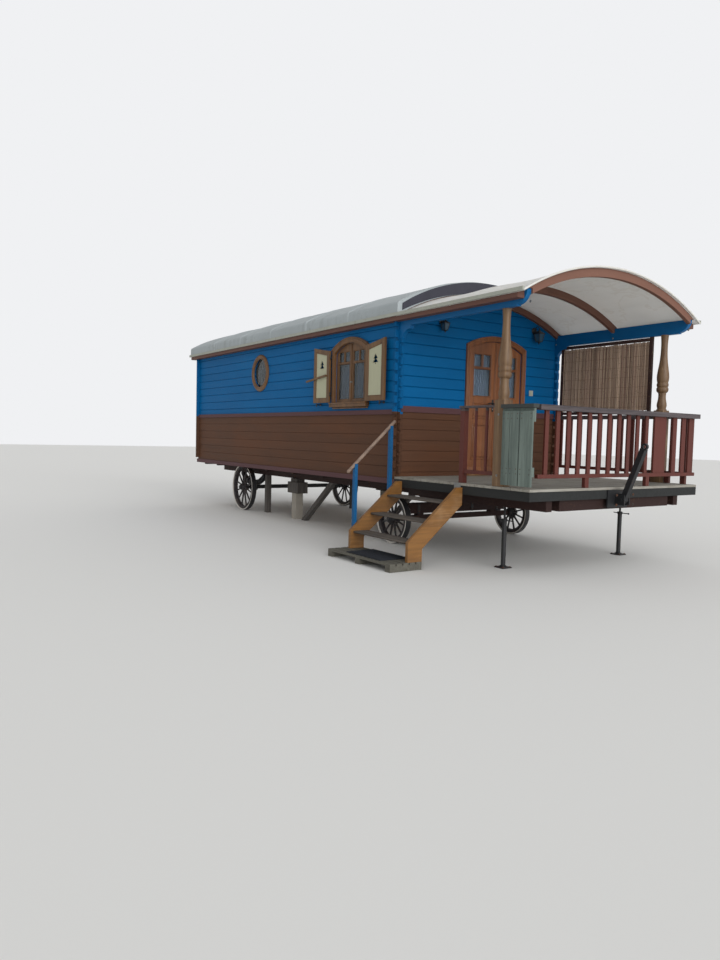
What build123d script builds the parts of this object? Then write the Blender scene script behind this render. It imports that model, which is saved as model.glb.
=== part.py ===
"""A log-board vardo wagon with a roofed porch, parked on its wheels, jacks and props.

Sizes are in millimetres. Places are given in the wagon's own way: x forward from the outer
face of the front wall, y to the left of the lengthwise centre plane, z up from the ground.
The function at() turns them into the part's frame, whose origin lies on the ground under the
middle of the whole wagon, with +X the way it travels.
"""
from build123d import *
import os
from math import cos, radians, sin, tan

os.makedirs("parts", exist_ok=True)

# Body
BODY_L = 6690
BODY_W = 3000
WALL_T = 45
DECK_Z = 950
SKIRT_DROP = 98
SKIRT_STRIP_H = 68
COURSE = 139
SIDE_JOINT = 124
GROOVE_D = 9
LOW_GROOVE_D = 5
LOG_END = 55
NOTCH_H = 44
NOTCH_D = 42
NOTCH_DROP = 34
FLOOR_T = 60
SIDE_WAIST_Z = 803
SIDE_WAIST_H = 61
END_WAIST_Z = 836
END_WAIST_H = 78
TRIM_T = 20
FIT = 0.3
PLAY = 6

# Roof
ROOF_HALF = 1600
ROOF_EDGE = 2045
ROOF_CROWN = 2480
ROOF_T = 155
ROOF_TAIL = 180
ROOF_NOSE = 80
ROOF_ROUND = 70
ROOF_BOARD_T = 12
SHEET_T = 15
SHEET_NOSE = 2200
FASCIA_H = 66
FASCIA_NOSE = 2112
DRIP_H = 42
DRIP_T = 22
DRIP_LAP = 10
DRIP_TAIL = 50
BOW_DEPTH = 95
BOW_T = 52
BOW_MID_X = 1000
BOW_FRONT_X = 2118

# Porch
PORCH_L = 2306
DECK_LIP = 20
BOARD_T = 28
BOARD_W = 122
BOARD_GAP = 7
RIM_H = 100
RIM_T = 50
PLATE_T = 60
PLATE_LOW = 1915
PLATE_H = 165
PLATE_NOSE = 2150
PLATE_LIP = 30
KNEE_L = 225
KNEE_H = 140
KNEE_NOSE = 45
POST_BACK = 330
POST_INSET = 55
POST_W = 140
RAIL_TOP = 885
RAIL_FOOT = 154
FOOT_RAIL_H = 42
FOOT_RAIL_W = 44
CAP_T = 55
CAP_W = 110
CAP_FORWARD = 20
NEAR_CAP_T = 25
BALUSTER_W = 56
BALUSTER_T = 22
BALUSTER_STEP = 174

# Running gear
RAIL_Y = 950
RAIL_W = 90
RAIL_H = 122
BEARER_Y = 1160
BEARER_W = 90
JOIST_H = 68
FRONT_AXLE_X = -480
REAR_OVERHANG = 1460
FRONT_R = 335
REAR_R = 435
WHEEL_Y = 1150
WHEEL_W = 92
AXLE_D = 50
SPOKES = 12

# Door, as heights above the deck
DOOR_Y = 228
DOOR_HALF = 505
DOOR_SPRING = 1745
DOOR_APEX = 1880
ARCHITRAVE = 72
ARCHITRAVE_T = 25
LEAF_T = 38
LEAF_GAP = 5

# Windows, as heights above the deck
WINDOW_X = -1100
WINDOW_SILL = 980
WINDOW_HALF = 378
WINDOW_SPRING = 700
WINDOW_APEX = 832
CASING_W = 62
CASING_T = 40
SILL_PROUD = 26
SILL_HORN = 20
HEAD_DROP = 8
ROUND_X = -3910
ROUND_Z = 1550
ROUND_R = 248
ROUND_RING = 66
ROUND_LAP = 12
ROUND_T = 30
SHUTTER_T = 30
SHUTTER_FRAME = 62

# Steps
STEP_NEAR_X = 142
STEP_FAR_X = 1270
STRINGER_T = 45
PALLET_H = 90
PALLET_REACH = 2530
PALLET_D = 440

# Draw bar
BAR_X = 2400
BAR_Y = -80
BAR_Z = 812
BAR_L = 690
BAR_LEAN = 21.5
BAR_W = 62

# Derived places
TAIL_REACH = BODY_L + ROOF_TAIL + DRIP_TAIL
NOSE_REACH = BAR_X + (BAR_L * sin(radians(BAR_LEAN)) + BAR_W / 2)
FRONT_X = (TAIL_REACH - NOSE_REACH) / 2
MID_Y = (PALLET_REACH - ROOF_HALF - DRIP_T) / 2
HALF_W = BODY_W / 2
DECK_HALF = HALF_W + DECK_LIP
POST_Y = HALF_W - POST_INSET
SKIRT_Z = DECK_Z - SKIRT_DROP
SKIRT_STRIP = (SKIRT_Z, SKIRT_Z + SKIRT_STRIP_H)
RAIL_TOP_Z = DECK_Z - FLOOR_T - JOIST_H
RAIL_LOW_Z = RAIL_TOP_Z - RAIL_H
FASCIA_Z = DECK_Z + ROOF_EDGE - FASCIA_H
PLATE_Z = DECK_Z + PLATE_LOW
CAP_Z = DECK_Z + RAIL_TOP
SIDE_WAIST = (DECK_Z + SIDE_WAIST_Z, DECK_Z + SIDE_WAIST_Z + SIDE_WAIST_H)
END_WAIST = (DECK_Z + END_WAIST_Z, DECK_Z + END_WAIST_Z + END_WAIST_H)
POST_X = PLATE_NOSE - POST_BACK
REAR_AXLE_X = -BODY_L + REAR_OVERHANG
SIDES = (-1, 1)


def at(x, y, z):
    """A place on the wagon, in the part's frame."""
    return Vector(FRONT_X + x, MID_Y + y, z)


def across(x):
    """The upright plane across the wagon at x, sketched in y and z, facing forward."""
    return Plane(origin=at(x, 0, 0), x_dir=(0, 1, 0), z_dir=(1, 0, 0))


def along(y):
    """The upright plane along the wagon at y, sketched in x and z, facing right."""
    return Plane(origin=at(0, y, 0), x_dir=(1, 0, 0), z_dir=(0, -1, 0))


def level(z):
    """The level plane at z, sketched in x and y, facing up."""
    return Plane(origin=at(0, 0, z))


def block(xs, ys, zs, mode=Mode.ADD):
    """One squared timber between two values along each axis."""
    with Locations(at(*((low + high) / 2 for low, high in (xs, ys, zs)))):
        Box(*(abs(high - low) for low, high in (xs, ys, zs)), mode=mode)


def rod(start, end, radius, mode=Mode.ADD):
    """A round bar between two places on the wagon."""
    axis = at(*end) - at(*start)
    with Locations(Plane(origin=at(*start), z_dir=axis)):
        Cylinder(radius, axis.length, align=(Align.CENTER, Align.CENTER, Align.MIN), mode=mode)


def arched_face(half, foot, spring, apex, mode=Mode.ADD):
    """A doorway's outline: upright sides under one low arc."""
    with BuildLine() as outline:
        Polyline((-half, spring), (-half, foot), (half, foot), (half, spring))
        ThreePointArc((-half, spring), (0, apex), (half, spring))
    make_face(outline.edges(), mode=mode)


def band_face(half, low_edge, low_crown, high_edge, high_crown, mode=Mode.ADD):
    """The space between two arcs across the wagon, closed by upright ends."""
    with BuildLine() as outline:
        ThreePointArc((-half, low_edge), (0, low_crown), (half, low_edge))
        Line((half, low_edge), (half, high_edge))
        ThreePointArc((half, high_edge), (0, high_crown), (-half, high_edge))
        Line((-half, high_edge), (-half, low_edge))
    make_face(outline.edges(), mode=mode)


# Heights of the joints between board courses; the end walls' courses lie half a course off
COURSES = int((ROOF_CROWN + SKIRT_DROP) // COURSE)
SIDE_JOINTS = [DECK_Z + SIDE_JOINT + COURSE * (i - 1) for i in range(1, COURSES)]
END_JOINTS = [z - COURSE / 2 for z in SIDE_JOINTS]
SIDE_NOTCHES = [z - NOTCH_DROP for z in SIDE_JOINTS]
END_NOTCHES = [z - NOTCH_DROP for z in END_JOINTS]


def joint_cuts(face_place, joints, waist, top):
    """V joints along a wall face, shallower on the stained boards below the waist."""
    for depth, low, high in (
        (LOW_GROOVE_D, SKIRT_Z + GROOVE_D, waist[0]),
        (GROOVE_D, waist[1], top),
    ):
        with Locations(*[(face_place, z) for z in joints if low < z < high]):
            RegularPolygon(depth, 4)


# The room above the roof's underside, which trims everything that ends at it
with BuildPart() as above_roof:
    with BuildSketch(across(-BODY_L - ROOF_TAIL)):
        band_face(
            ROOF_HALF,
            DECK_Z + ROOF_EDGE,
            DECK_Z + ROOF_CROWN,
            DECK_Z + ROOF_CROWN + ROOF_T,
            DECK_Z + ROOF_CROWN + 2 * ROOF_T,
        )
    extrude(amount=BODY_L + ROOF_TAIL + SHEET_NOSE)

# Window and door places: the wall face's plane at each sill or threshold
WINDOW_Z = DECK_Z + WINDOW_SILL
window_planes = {
    "right": Plane(origin=at(WINDOW_X, -HALF_W, WINDOW_Z), x_dir=(1, 0, 0), z_dir=(0, -1, 0)),
    "left": Plane(origin=at(WINDOW_X, HALF_W, WINDOW_Z), x_dir=(-1, 0, 0), z_dir=(0, 1, 0)),
    "rear": Plane(origin=at(-BODY_L, 0, WINDOW_Z), x_dir=(0, -1, 0), z_dir=(-1, 0, 0)),
}
round_planes = [
    Plane(origin=at(ROUND_X, -HALF_W, DECK_Z + ROUND_Z), x_dir=(1, 0, 0), z_dir=(0, -1, 0)),
    Plane(origin=at(ROUND_X, HALF_W, DECK_Z + ROUND_Z), x_dir=(-1, 0, 0), z_dir=(0, 1, 0)),
]
door_plane = Plane(origin=at(0, DOOR_Y, DECK_Z), x_dir=(0, 1, 0), z_dir=(1, 0, 0))

# Side walls: log boards with a V joint at each course
for side, name in ((-1, "wall_right"), (1, "wall_left")):
    with BuildPart() as side_wall:
        block(
            (-BODY_L, 0),
            (side * (HALF_W - WALL_T), side * HALF_W),
            (SKIRT_Z, DECK_Z + ROOF_CROWN),
        )
        add(above_roof.part, mode=Mode.SUBTRACT)
        with BuildSketch(across(-BODY_L)):
            joint_cuts(side * HALF_W, SIDE_JOINTS, SIDE_WAIST, DECK_Z + ROOF_EDGE)
        extrude(amount=BODY_L, mode=Mode.SUBTRACT)
        with BuildSketch(window_planes["right" if side < 0 else "left"]):
            arched_face(WINDOW_HALF, 0, WINDOW_SPRING, WINDOW_APEX)
        extrude(amount=-WALL_T, mode=Mode.SUBTRACT)
        with BuildSketch(round_planes[0 if side < 0 else 1]):
            Circle(ROUND_R)
        extrude(amount=-WALL_T, mode=Mode.SUBTRACT)
    side_wall.part.label = name
    export_step(side_wall.part, f"parts/{name}.step")

# End walls, standing between the side walls and following the roof's arch
for x_out, name, opening in ((0, "wall_front", "door"), (-BODY_L, "wall_rear", "window")):
    x_in = x_out - WALL_T if x_out == 0 else x_out + WALL_T
    with BuildPart() as end_wall:
        block(
            (x_in, x_out),
            (-(HALF_W - WALL_T), HALF_W - WALL_T),
            (SKIRT_Z, DECK_Z + ROOF_CROWN),
        )
        add(above_roof.part, mode=Mode.SUBTRACT)
        with BuildSketch(along(HALF_W)):
            joint_cuts(x_out, END_JOINTS, END_WAIST, DECK_Z + ROOF_CROWN)
        extrude(amount=BODY_W, mode=Mode.SUBTRACT)
        if opening == "door":
            with BuildSketch(door_plane):
                arched_face(DOOR_HALF, 0, DOOR_SPRING, DOOR_APEX)
            extrude(amount=-WALL_T, mode=Mode.SUBTRACT)
        else:
            with BuildSketch(window_planes["rear"]):
                arched_face(WINDOW_HALF, 0, WINDOW_SPRING, WINDOW_APEX)
            extrude(amount=-WALL_T, mode=Mode.SUBTRACT)
    end_wall.part.label = name
    export_step(end_wall.part, f"parts/{name}.step")

# Crossed board ends that stand out past each corner, notched where the other wall's joints run
with BuildPart() as corner_ends:
    for side in SIDES:
        for x_wall, out, top in ((0, 1, PLATE_Z - KNEE_H), (-BODY_L, -1, FASCIA_Z)):
            with BuildSketch(along(side * HALF_W)):
                with Locations((x_wall + out * LOG_END / 2, (DECK_Z + top) / 2)):
                    Rectangle(LOG_END, top - DECK_Z)
                if out > 0:
                    with Locations(*[(LOG_END, z) for z in END_NOTCHES if DECK_Z < z < top]):
                        Rectangle(2 * NOTCH_D, NOTCH_H, mode=Mode.SUBTRACT)
            extrude(amount=side * WALL_T)
        for x_wall, inward in ((0, -1), (-BODY_L, 1)):
            with BuildSketch(across(x_wall)):
                with Locations((side * (HALF_W + LOG_END / 2), (DECK_Z + FASCIA_Z) / 2)):
                    Rectangle(LOG_END, FASCIA_Z - DECK_Z)
                notch_y = side * (HALF_W + LOG_END)
                if inward < 0:
                    with Locations(*[(notch_y, z) for z in SIDE_NOTCHES if DECK_Z < z < FASCIA_Z]):
                        Rectangle(2 * NOTCH_D, NOTCH_H, mode=Mode.SUBTRACT)
            extrude(amount=inward * WALL_T)
corner_ends.part.label = "corner_ends"
export_step(corner_ends.part, "parts/corner_ends.step")

# Floor of the cabin
with BuildPart() as cabin_floor:
    block(
        (-BODY_L + WALL_T, -WALL_T),
        (-(HALF_W - WALL_T), HALF_W - WALL_T),
        (DECK_Z - FLOOR_T, DECK_Z),
    )
cabin_floor.part.label = "cabin_floor"
export_step(cabin_floor.part, "parts/cabin_floor.step")

# Mouldings on the walls: skirt boards at the foot, and a waist band broken at the door
door_out = DOOR_HALF + ARCHITRAVE
with BuildPart() as wall_trims:
    for side in SIDES:
        outside = (side * HALF_W, side * (HALF_W + TRIM_T))
        block((-BODY_L - TRIM_T, 0), outside, SKIRT_STRIP)
        block((-BODY_L + WALL_T, -WALL_T), outside, SIDE_WAIST)
    behind = (-BODY_L - TRIM_T, -BODY_L)
    block(behind, (-(HALF_W - FIT), HALF_W - FIT), SKIRT_STRIP)
    block(behind, (-(HALF_W - WALL_T), HALF_W - WALL_T), END_WAIST)
    block((0, TRIM_T), (-(HALF_W - WALL_T), DOOR_Y - door_out), END_WAIST)
    block((0, TRIM_T), (DOOR_Y + door_out, HALF_W - WALL_T), END_WAIST)
wall_trims.part.label = "wall_trims"
export_step(wall_trims.part, "parts/wall_trims.step")

# Cabin roof: a thick arched panel with rounded shoulders and tail
with BuildPart() as roof_body:
    with BuildSketch(across(-BODY_L - ROOF_TAIL)):
        band_face(
            ROOF_HALF,
            DECK_Z + ROOF_EDGE,
            DECK_Z + ROOF_CROWN,
            DECK_Z + ROOF_EDGE + ROOF_T,
            DECK_Z + ROOF_CROWN + ROOF_T,
        )
    extrude(amount=BODY_L + ROOF_TAIL + ROOF_NOSE)
    shoulders = roof_body.edges().filter_by(Axis.X).group_by(Axis.Z)[-1]
    fillet(shoulders, ROOF_ROUND)
roof_body.part.label = "roof_body"
export_step(roof_body.part, "parts/roof_body.step")

# Dark board that closes the front end of the thick roof above the porch roof
with BuildPart() as roof_board:
    with BuildSketch(across(ROOF_NOSE)):
        band_face(
            ROOF_HALF - ROOF_ROUND,
            DECK_Z + ROOF_EDGE + ROOF_ROUND,
            DECK_Z + ROOF_CROWN + FIT,
            DECK_Z + ROOF_EDGE + ROOF_T,
            DECK_Z + ROOF_CROWN + ROOF_T - FIT,
        )
    extrude(amount=ROOF_BOARD_T)
roof_board.part.label = "roof_board"
export_step(roof_board.part, "parts/roof_board.step")

# Porch roof: one thin arched sheet over the bows
with BuildPart() as porch_sheet:
    with BuildSketch(across(BOW_T)):
        band_face(
            ROOF_HALF,
            DECK_Z + ROOF_EDGE - SHEET_T,
            DECK_Z + ROOF_CROWN - SHEET_T,
            DECK_Z + ROOF_EDGE,
            DECK_Z + ROOF_CROWN,
        )
    extrude(amount=SHEET_NOSE - BOW_T)
porch_sheet.part.label = "porch_sheet"
export_step(porch_sheet.part, "parts/porch_sheet.step")

# Fascia boards under the roof's edges and a brown verge at the tail
with BuildPart() as fascia:
    for side in SIDES:
        block(
            (-BODY_L - ROOF_TAIL, FASCIA_NOSE),
            (side * HALF_W, side * ROOF_HALF),
            (FASCIA_Z, FASCIA_Z + 2 * FASCIA_H),
        )
    with BuildSketch(across(-BODY_L - ROOF_TAIL)):
        band_face(
            HALF_W,
            DECK_Z + ROOF_EDGE - FASCIA_H,
            DECK_Z + ROOF_CROWN - FASCIA_H,
            DECK_Z + ROOF_EDGE + FASCIA_H,
            DECK_Z + ROOF_CROWN + FASCIA_H,
        )
    extrude(amount=TRIM_T)
    add(above_roof.part, mode=Mode.SUBTRACT)
    with BuildSketch(across(BOW_T)):
        band_face(
            ROOF_HALF,
            DECK_Z + ROOF_EDGE - SHEET_T,
            DECK_Z + ROOF_CROWN - SHEET_T,
            DECK_Z + ROOF_EDGE + FASCIA_H,
            DECK_Z + ROOF_CROWN + FASCIA_H,
        )
    extrude(amount=SHEET_NOSE - BOW_T, mode=Mode.SUBTRACT)
fascia.part.label = "fascia"
export_step(fascia.part, "parts/fascia.step")

# Pale drip strips outside the fascias
with BuildPart() as drip_strips:
    for side in SIDES:
        block(
            (-BODY_L - ROOF_TAIL - DRIP_TAIL, SHEET_NOSE),
            (side * ROOF_HALF, side * (ROOF_HALF + DRIP_T)),
            (DECK_Z + ROOF_EDGE - DRIP_LAP, DECK_Z + ROOF_EDGE - DRIP_LAP + DRIP_H),
        )
drip_strips.part.label = "drip_strips"
export_step(drip_strips.part, "parts/drip_strips.step")

# Porch plates: the wall tops run on over the posts, with a hollow nose and a knee at the wall
nose_h = PLATE_H - PLATE_LIP
nose_step = 12
with BuildPart() as porch_plates:
    for side in SIDES:
        with BuildSketch(along(side * (HALF_W - PLATE_T) if side < 0 else HALF_W)):
            with BuildLine():
                Polyline(
                    (KNEE_L, PLATE_Z),
                    (PLATE_NOSE - nose_h, PLATE_Z),
                    (PLATE_NOSE - nose_h, PLATE_Z + nose_step),
                )
                ThreePointArc(
                    (PLATE_NOSE - nose_h, PLATE_Z + nose_step),
                    (PLATE_NOSE - nose_h * 0.36, PLATE_Z + nose_step + nose_h * 0.28),
                    (PLATE_NOSE, PLATE_Z + nose_h),
                )
                Polyline(
                    (PLATE_NOSE, PLATE_Z + nose_h),
                    (PLATE_NOSE, PLATE_Z + PLATE_H),
                    (0, PLATE_Z + PLATE_H),
                    (0, PLATE_Z - KNEE_H),
                    (LOG_END, PLATE_Z - KNEE_H),
                )
                ThreePointArc(
                    (LOG_END, PLATE_Z - KNEE_H),
                    (KNEE_L / 2, PLATE_Z - KNEE_H / 2),
                    (KNEE_L, PLATE_Z - KNEE_NOSE),
                )
                Line((KNEE_L, PLATE_Z - KNEE_NOSE), (KNEE_L, PLATE_Z))
            make_face()
        extrude(amount=PLATE_T)
porch_plates.part.label = "porch_plates"
export_step(porch_plates.part, "parts/porch_plates.step")

# Bows that carry the porch roof, notched over the plates
bow_rows = (
    # rear face x, drop of the bow's top below the cabin roof's underside
    (0, 0),
    (BOW_MID_X, SHEET_T),
    (BOW_FRONT_X, SHEET_T),
)
with BuildPart() as roof_bows:
    for bow_x, drop in bow_rows:
        with BuildSketch(across(bow_x)):
            band_face(
                ROOF_HALF,
                DECK_Z + ROOF_EDGE - drop - BOW_DEPTH,
                DECK_Z + ROOF_CROWN - drop - BOW_DEPTH,
                DECK_Z + ROOF_EDGE - drop,
                DECK_Z + ROOF_CROWN - drop,
            )
        extrude(amount=BOW_T)
        for side in SIDES:
            block(
                (bow_x, bow_x + BOW_T),
                (side * (HALF_W - PLATE_T), side * (ROOF_HALF + DRIP_T)),
                (PLATE_Z - BOW_DEPTH, PLATE_Z + PLATE_H),
                mode=Mode.SUBTRACT,
            )
            block(
                (bow_x, bow_x + BOW_T),
                (side * HALF_W, side * (ROOF_HALF + DRIP_T)),
                (PLATE_Z, DECK_Z + ROOF_CROWN),
                mode=Mode.SUBTRACT,
            )
roof_bows.part.label = "roof_bows"
export_step(roof_bows.part, "parts/roof_bows.step")

# Window casings with their sills, on the outside of the walls
with BuildPart() as window_casings:
    for plane in window_planes.values():
        with BuildSketch(plane):
            arched_face(
                WINDOW_HALF + CASING_W,
                0,
                WINDOW_SPRING + CASING_W - HEAD_DROP,
                WINDOW_APEX + CASING_W,
            )
            arched_face(WINDOW_HALF, 0, WINDOW_SPRING, WINDOW_APEX, mode=Mode.SUBTRACT)
        extrude(amount=CASING_T)
        with BuildSketch(plane):
            with Locations((0, -CASING_W / 2)):
                Rectangle(2 * (WINDOW_HALF + CASING_W + SILL_HORN), CASING_W)
        extrude(amount=CASING_T + SILL_PROUD)
window_casings.part.label = "window_casings"
export_step(window_casings.part, "parts/window_casings.step")

# Sashes: two casements to a window, each with a glazing bar and two small lights above it
SASH_T = 34
SASH_SET = 6
STILE = 46
BAR_V = 560
GLAZING_BAR = 20
LIGHT_TOP = WINDOW_SPRING + 20
pane_w = WINDOW_HALF - 2 * STILE
small_w = (pane_w - GLAZING_BAR) / 2
pane_rows = []
for side in SIDES:
    centre = side * (STILE / 2 + pane_w / 2 + STILE / 2)
    pane_rows.append((centre, STILE, BAR_V - GLAZING_BAR / 2, pane_w))
    for hand in SIDES:
        small_u = centre + hand * (small_w + GLAZING_BAR) / 2
        pane_rows.append((small_u, BAR_V + GLAZING_BAR / 2, LIGHT_TOP, small_w))
with BuildPart() as window_sashes:
    for plane in window_planes.values():
        with BuildSketch(plane.offset(-SASH_SET)):
            arched_face(WINDOW_HALF - FIT, FIT, WINDOW_SPRING, WINDOW_APEX - FIT)
            for u, low, high, width in pane_rows:
                with Locations((u, (low + high) / 2)):
                    Rectangle(width, high - low, mode=Mode.SUBTRACT)
        extrude(amount=-SASH_T)
window_sashes.part.label = "window_sashes"
export_step(window_sashes.part, "parts/window_sashes.step")

# Panes of the windows and of the round windows
GLASS_T = 4
with BuildPart() as window_glass:
    for plane in window_planes.values():
        with BuildSketch(plane.offset(-SASH_SET - SASH_T / 2)):
            for u, low, high, width in pane_rows:
                with Locations((u, (low + high) / 2)):
                    Rectangle(width, high - low)
        extrude(amount=GLASS_T)
    for plane in round_planes:
        with BuildSketch(plane.offset(-SASH_SET - SASH_T / 2)):
            Circle(ROUND_R - FIT)
        extrude(amount=GLASS_T)
window_glass.part.label = "window_glass"
export_step(window_glass.part, "parts/window_glass.step")

# Round window rings
with BuildPart() as round_rings:
    for plane in round_planes:
        with BuildSketch(plane):
            Circle(ROUND_R + ROUND_RING)
            Circle(ROUND_R - ROUND_LAP, mode=Mode.SUBTRACT)
        extrude(amount=ROUND_T)
round_rings.part.label = "round_rings"
export_step(round_rings.part, "parts/round_rings.step")

# Shutters: framed and panelled leaves, folded back against the wall, with a fir-tree cut-out
SHUTTER_AXIS_W = CASING_T + PLAY + SHUTTER_T / 2
PIN_OUT = 8
LEAF_IN = 12
TOP_LIFT = 52
TOP_DROP = 10
TOP_SAG = 4
SHUTTER_AXIS_U = WINDOW_HALF + CASING_W + PIN_OUT
SHUTTER_W = SHUTTER_AXIS_U - LEAF_IN - PLAY / 2
SHUTTER_H_HINGE = WINDOW_SPRING + TOP_LIFT
SHUTTER_H_FREE = WINDOW_APEX - TOP_DROP
PANEL_SINK = 8
PIN_R = 6
PIN_FIT = 0.06
HINGE_V = (110, 640)
HINGE_H = 40
FIR_V = 560
fir_tiers = (
    # middle above the fir's middle, foot, sloping side
    (35, 106, 88),
    (-14, 130, 98),
)
FIR_TRUNK_V = -62
FIR_TRUNK = (22, 30)
TAB_L = 28
TAB_T = 6
KNUCKLE_WALL = 5
LATCH_L = 555
LATCH_V = 365
LATCH_TILT = 7
LATCH_W = 28
LATCH_T = 18
SPACER_W = 30
SPACER_H = 22
shutter_rows = (
    # node, window, side of the window on which it hangs
    ("shutter_right_rear", "right", -1),
    ("shutter_right_front", "right", 1),
    ("shutter_left_front", "left", -1),
    ("shutter_left_rear", "left", 1),
)


def shutter_outline(hand, margin, mode=Mode.ADD):
    """A leaf's outline, its top rising in an arc from the hinge to the free edge."""
    near = SHUTTER_AXIS_U + LEAF_IN + margin
    far = SHUTTER_AXIS_U + LEAF_IN + SHUTTER_W - margin
    low = PLAY + margin
    top_hinge = SHUTTER_H_HINGE - margin
    top_free = SHUTTER_H_FREE - margin
    middle = ((near + far) / 2, (top_hinge + top_free) / 2 - TOP_SAG)
    with BuildLine() as outline:
        Polyline(
            (hand * near, top_hinge), (hand * near, low), (hand * far, low), (hand * far, top_free)
        )
        ThreePointArc(
            (hand * near, top_hinge), (hand * middle[0], middle[1]), (hand * far, top_free)
        )
    make_face(outline.edges(), mode=mode)


for name, window, hand in shutter_rows:
    plane = window_planes[window]
    with BuildPart() as shutter:
        with BuildSketch(plane.offset(SHUTTER_AXIS_W - SHUTTER_T / 2)):
            shutter_outline(hand, 0)
        extrude(amount=SHUTTER_T)
        for face_w, way in ((SHUTTER_AXIS_W + SHUTTER_T / 2, -1), (SHUTTER_AXIS_W - SHUTTER_T / 2, 1)):
            with BuildSketch(plane.offset(face_w)):
                shutter_outline(hand, SHUTTER_FRAME)
            extrude(amount=way * PANEL_SINK, mode=Mode.SUBTRACT)
        with BuildSketch(plane.offset(SHUTTER_AXIS_W - SHUTTER_T / 2)):
            with Locations((hand * (SHUTTER_AXIS_U + LEAF_IN + SHUTTER_W / 2), FIR_V)):
                for tier_v, foot, slant in fir_tiers:
                    with Locations((0, tier_v)):
                        Triangle(a=foot, b=slant, c=slant, align=(Align.CENTER, Align.CENTER))
                with Locations((0, FIR_TRUNK_V)):
                    Rectangle(*FIR_TRUNK)
        extrude(amount=SHUTTER_T, mode=Mode.SUBTRACT)
        for v in HINGE_V:
            hinge_plane = Plane(
                origin=plane.from_local_coords((hand * SHUTTER_AXIS_U, v, SHUTTER_AXIS_W)),
                x_dir=plane.x_dir,
                z_dir=(0, 0, 1),
            )
            with BuildSketch(hinge_plane):
                Circle(PIN_R + KNUCKLE_WALL)
                with Locations((hand * (TAB_L / 2 + PIN_R), 0)):
                    Rectangle(TAB_L, TAB_T)
                Circle(PIN_R + PIN_FIT, mode=Mode.SUBTRACT)
            extrude(amount=HINGE_H)
        if name == "shutter_right_rear":
            bar_start = SHUTTER_AXIS_U - WINDOW_HALF + 2 * PLAY
            bar_middle = bar_start + LATCH_L / 2
            outer_face = SHUTTER_AXIS_W + SHUTTER_T / 2
            for from_hinge, sink in (
                (bar_start + SPACER_W / 2, PANEL_SINK),
                (SHUTTER_W - SHUTTER_FRAME / 2, 0),
            ):
                spacer_v = LATCH_V + (bar_middle - from_hinge) * tan(radians(LATCH_TILT))
                with BuildSketch(plane.offset(outer_face - sink)):
                    with Locations((hand * (SHUTTER_AXIS_U + from_hinge), spacer_v)):
                        Rectangle(SPACER_W, SPACER_H)
                extrude(amount=sink + PLAY)
            with BuildSketch(plane.offset(outer_face + PLAY)):
                with Locations((hand * (SHUTTER_AXIS_U + bar_middle), LATCH_V)):
                    Rectangle(LATCH_L, LATCH_W, rotation=-hand * LATCH_TILT)
            extrude(amount=LATCH_T)
    shutter.part.label = name
    export_step(shutter.part, f"parts/{name}.step")

# Door frame on the outside of the front wall
with BuildPart() as door_frame:
    with BuildSketch(door_plane):
        arched_face(
            DOOR_HALF + ARCHITRAVE,
            0,
            DOOR_SPRING + ARCHITRAVE - HEAD_DROP,
            DOOR_APEX + ARCHITRAVE,
        )
        arched_face(DOOR_HALF, 0, DOOR_SPRING, DOOR_APEX, mode=Mode.SUBTRACT)
    extrude(amount=ARCHITRAVE_T)
door_frame.part.label = "door_frame"
export_step(door_frame.part, "parts/door_frame.step")

# Door leaves: glazed above, panelled below, hung inside the front wall
DOOR_AXIS_X = -WALL_T - 9
DOOR_FOOT = 8
DOOR_STILE = 86
DOOR_LIGHT_LOW = 1106
DOOR_LIGHT_HIGH = 1690
DOOR_BAR_V = 1500
DOOR_PANEL_ROWS = ((227, 715), (800, 1010))
DOOR_HINGES = (220, 900, 1560)
PANEL_MARGIN = 70
PANEL_DEEP = 12
LEAF_LAP = 45
HINGE_PLATE_T = 5
KNUCKLE_R = 8
KNUCKLE_H = 42
HINGE_PIN_R = 4
leaf_w = DOOR_HALF - LEAF_GAP - LEAF_GAP / 2
door_pane_w = leaf_w - 2 * DOOR_STILE
door_small_w = (door_pane_w - GLAZING_BAR) / 2
door_rows = (("door_right", -1), ("door_left", 1))


def door_panes(hand):
    """Centre, foot, head and width of a leaf's three panes."""
    centre = hand * (LEAF_GAP / 2 + leaf_w / 2)
    rows = [(centre, DOOR_LIGHT_LOW, DOOR_BAR_V - GLAZING_BAR / 2, door_pane_w)]
    for way in SIDES:
        small_u = centre + way * (door_small_w + GLAZING_BAR) / 2
        rows.append((small_u, DOOR_BAR_V + GLAZING_BAR / 2, DOOR_LIGHT_HIGH, door_small_w))
    return rows


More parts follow.
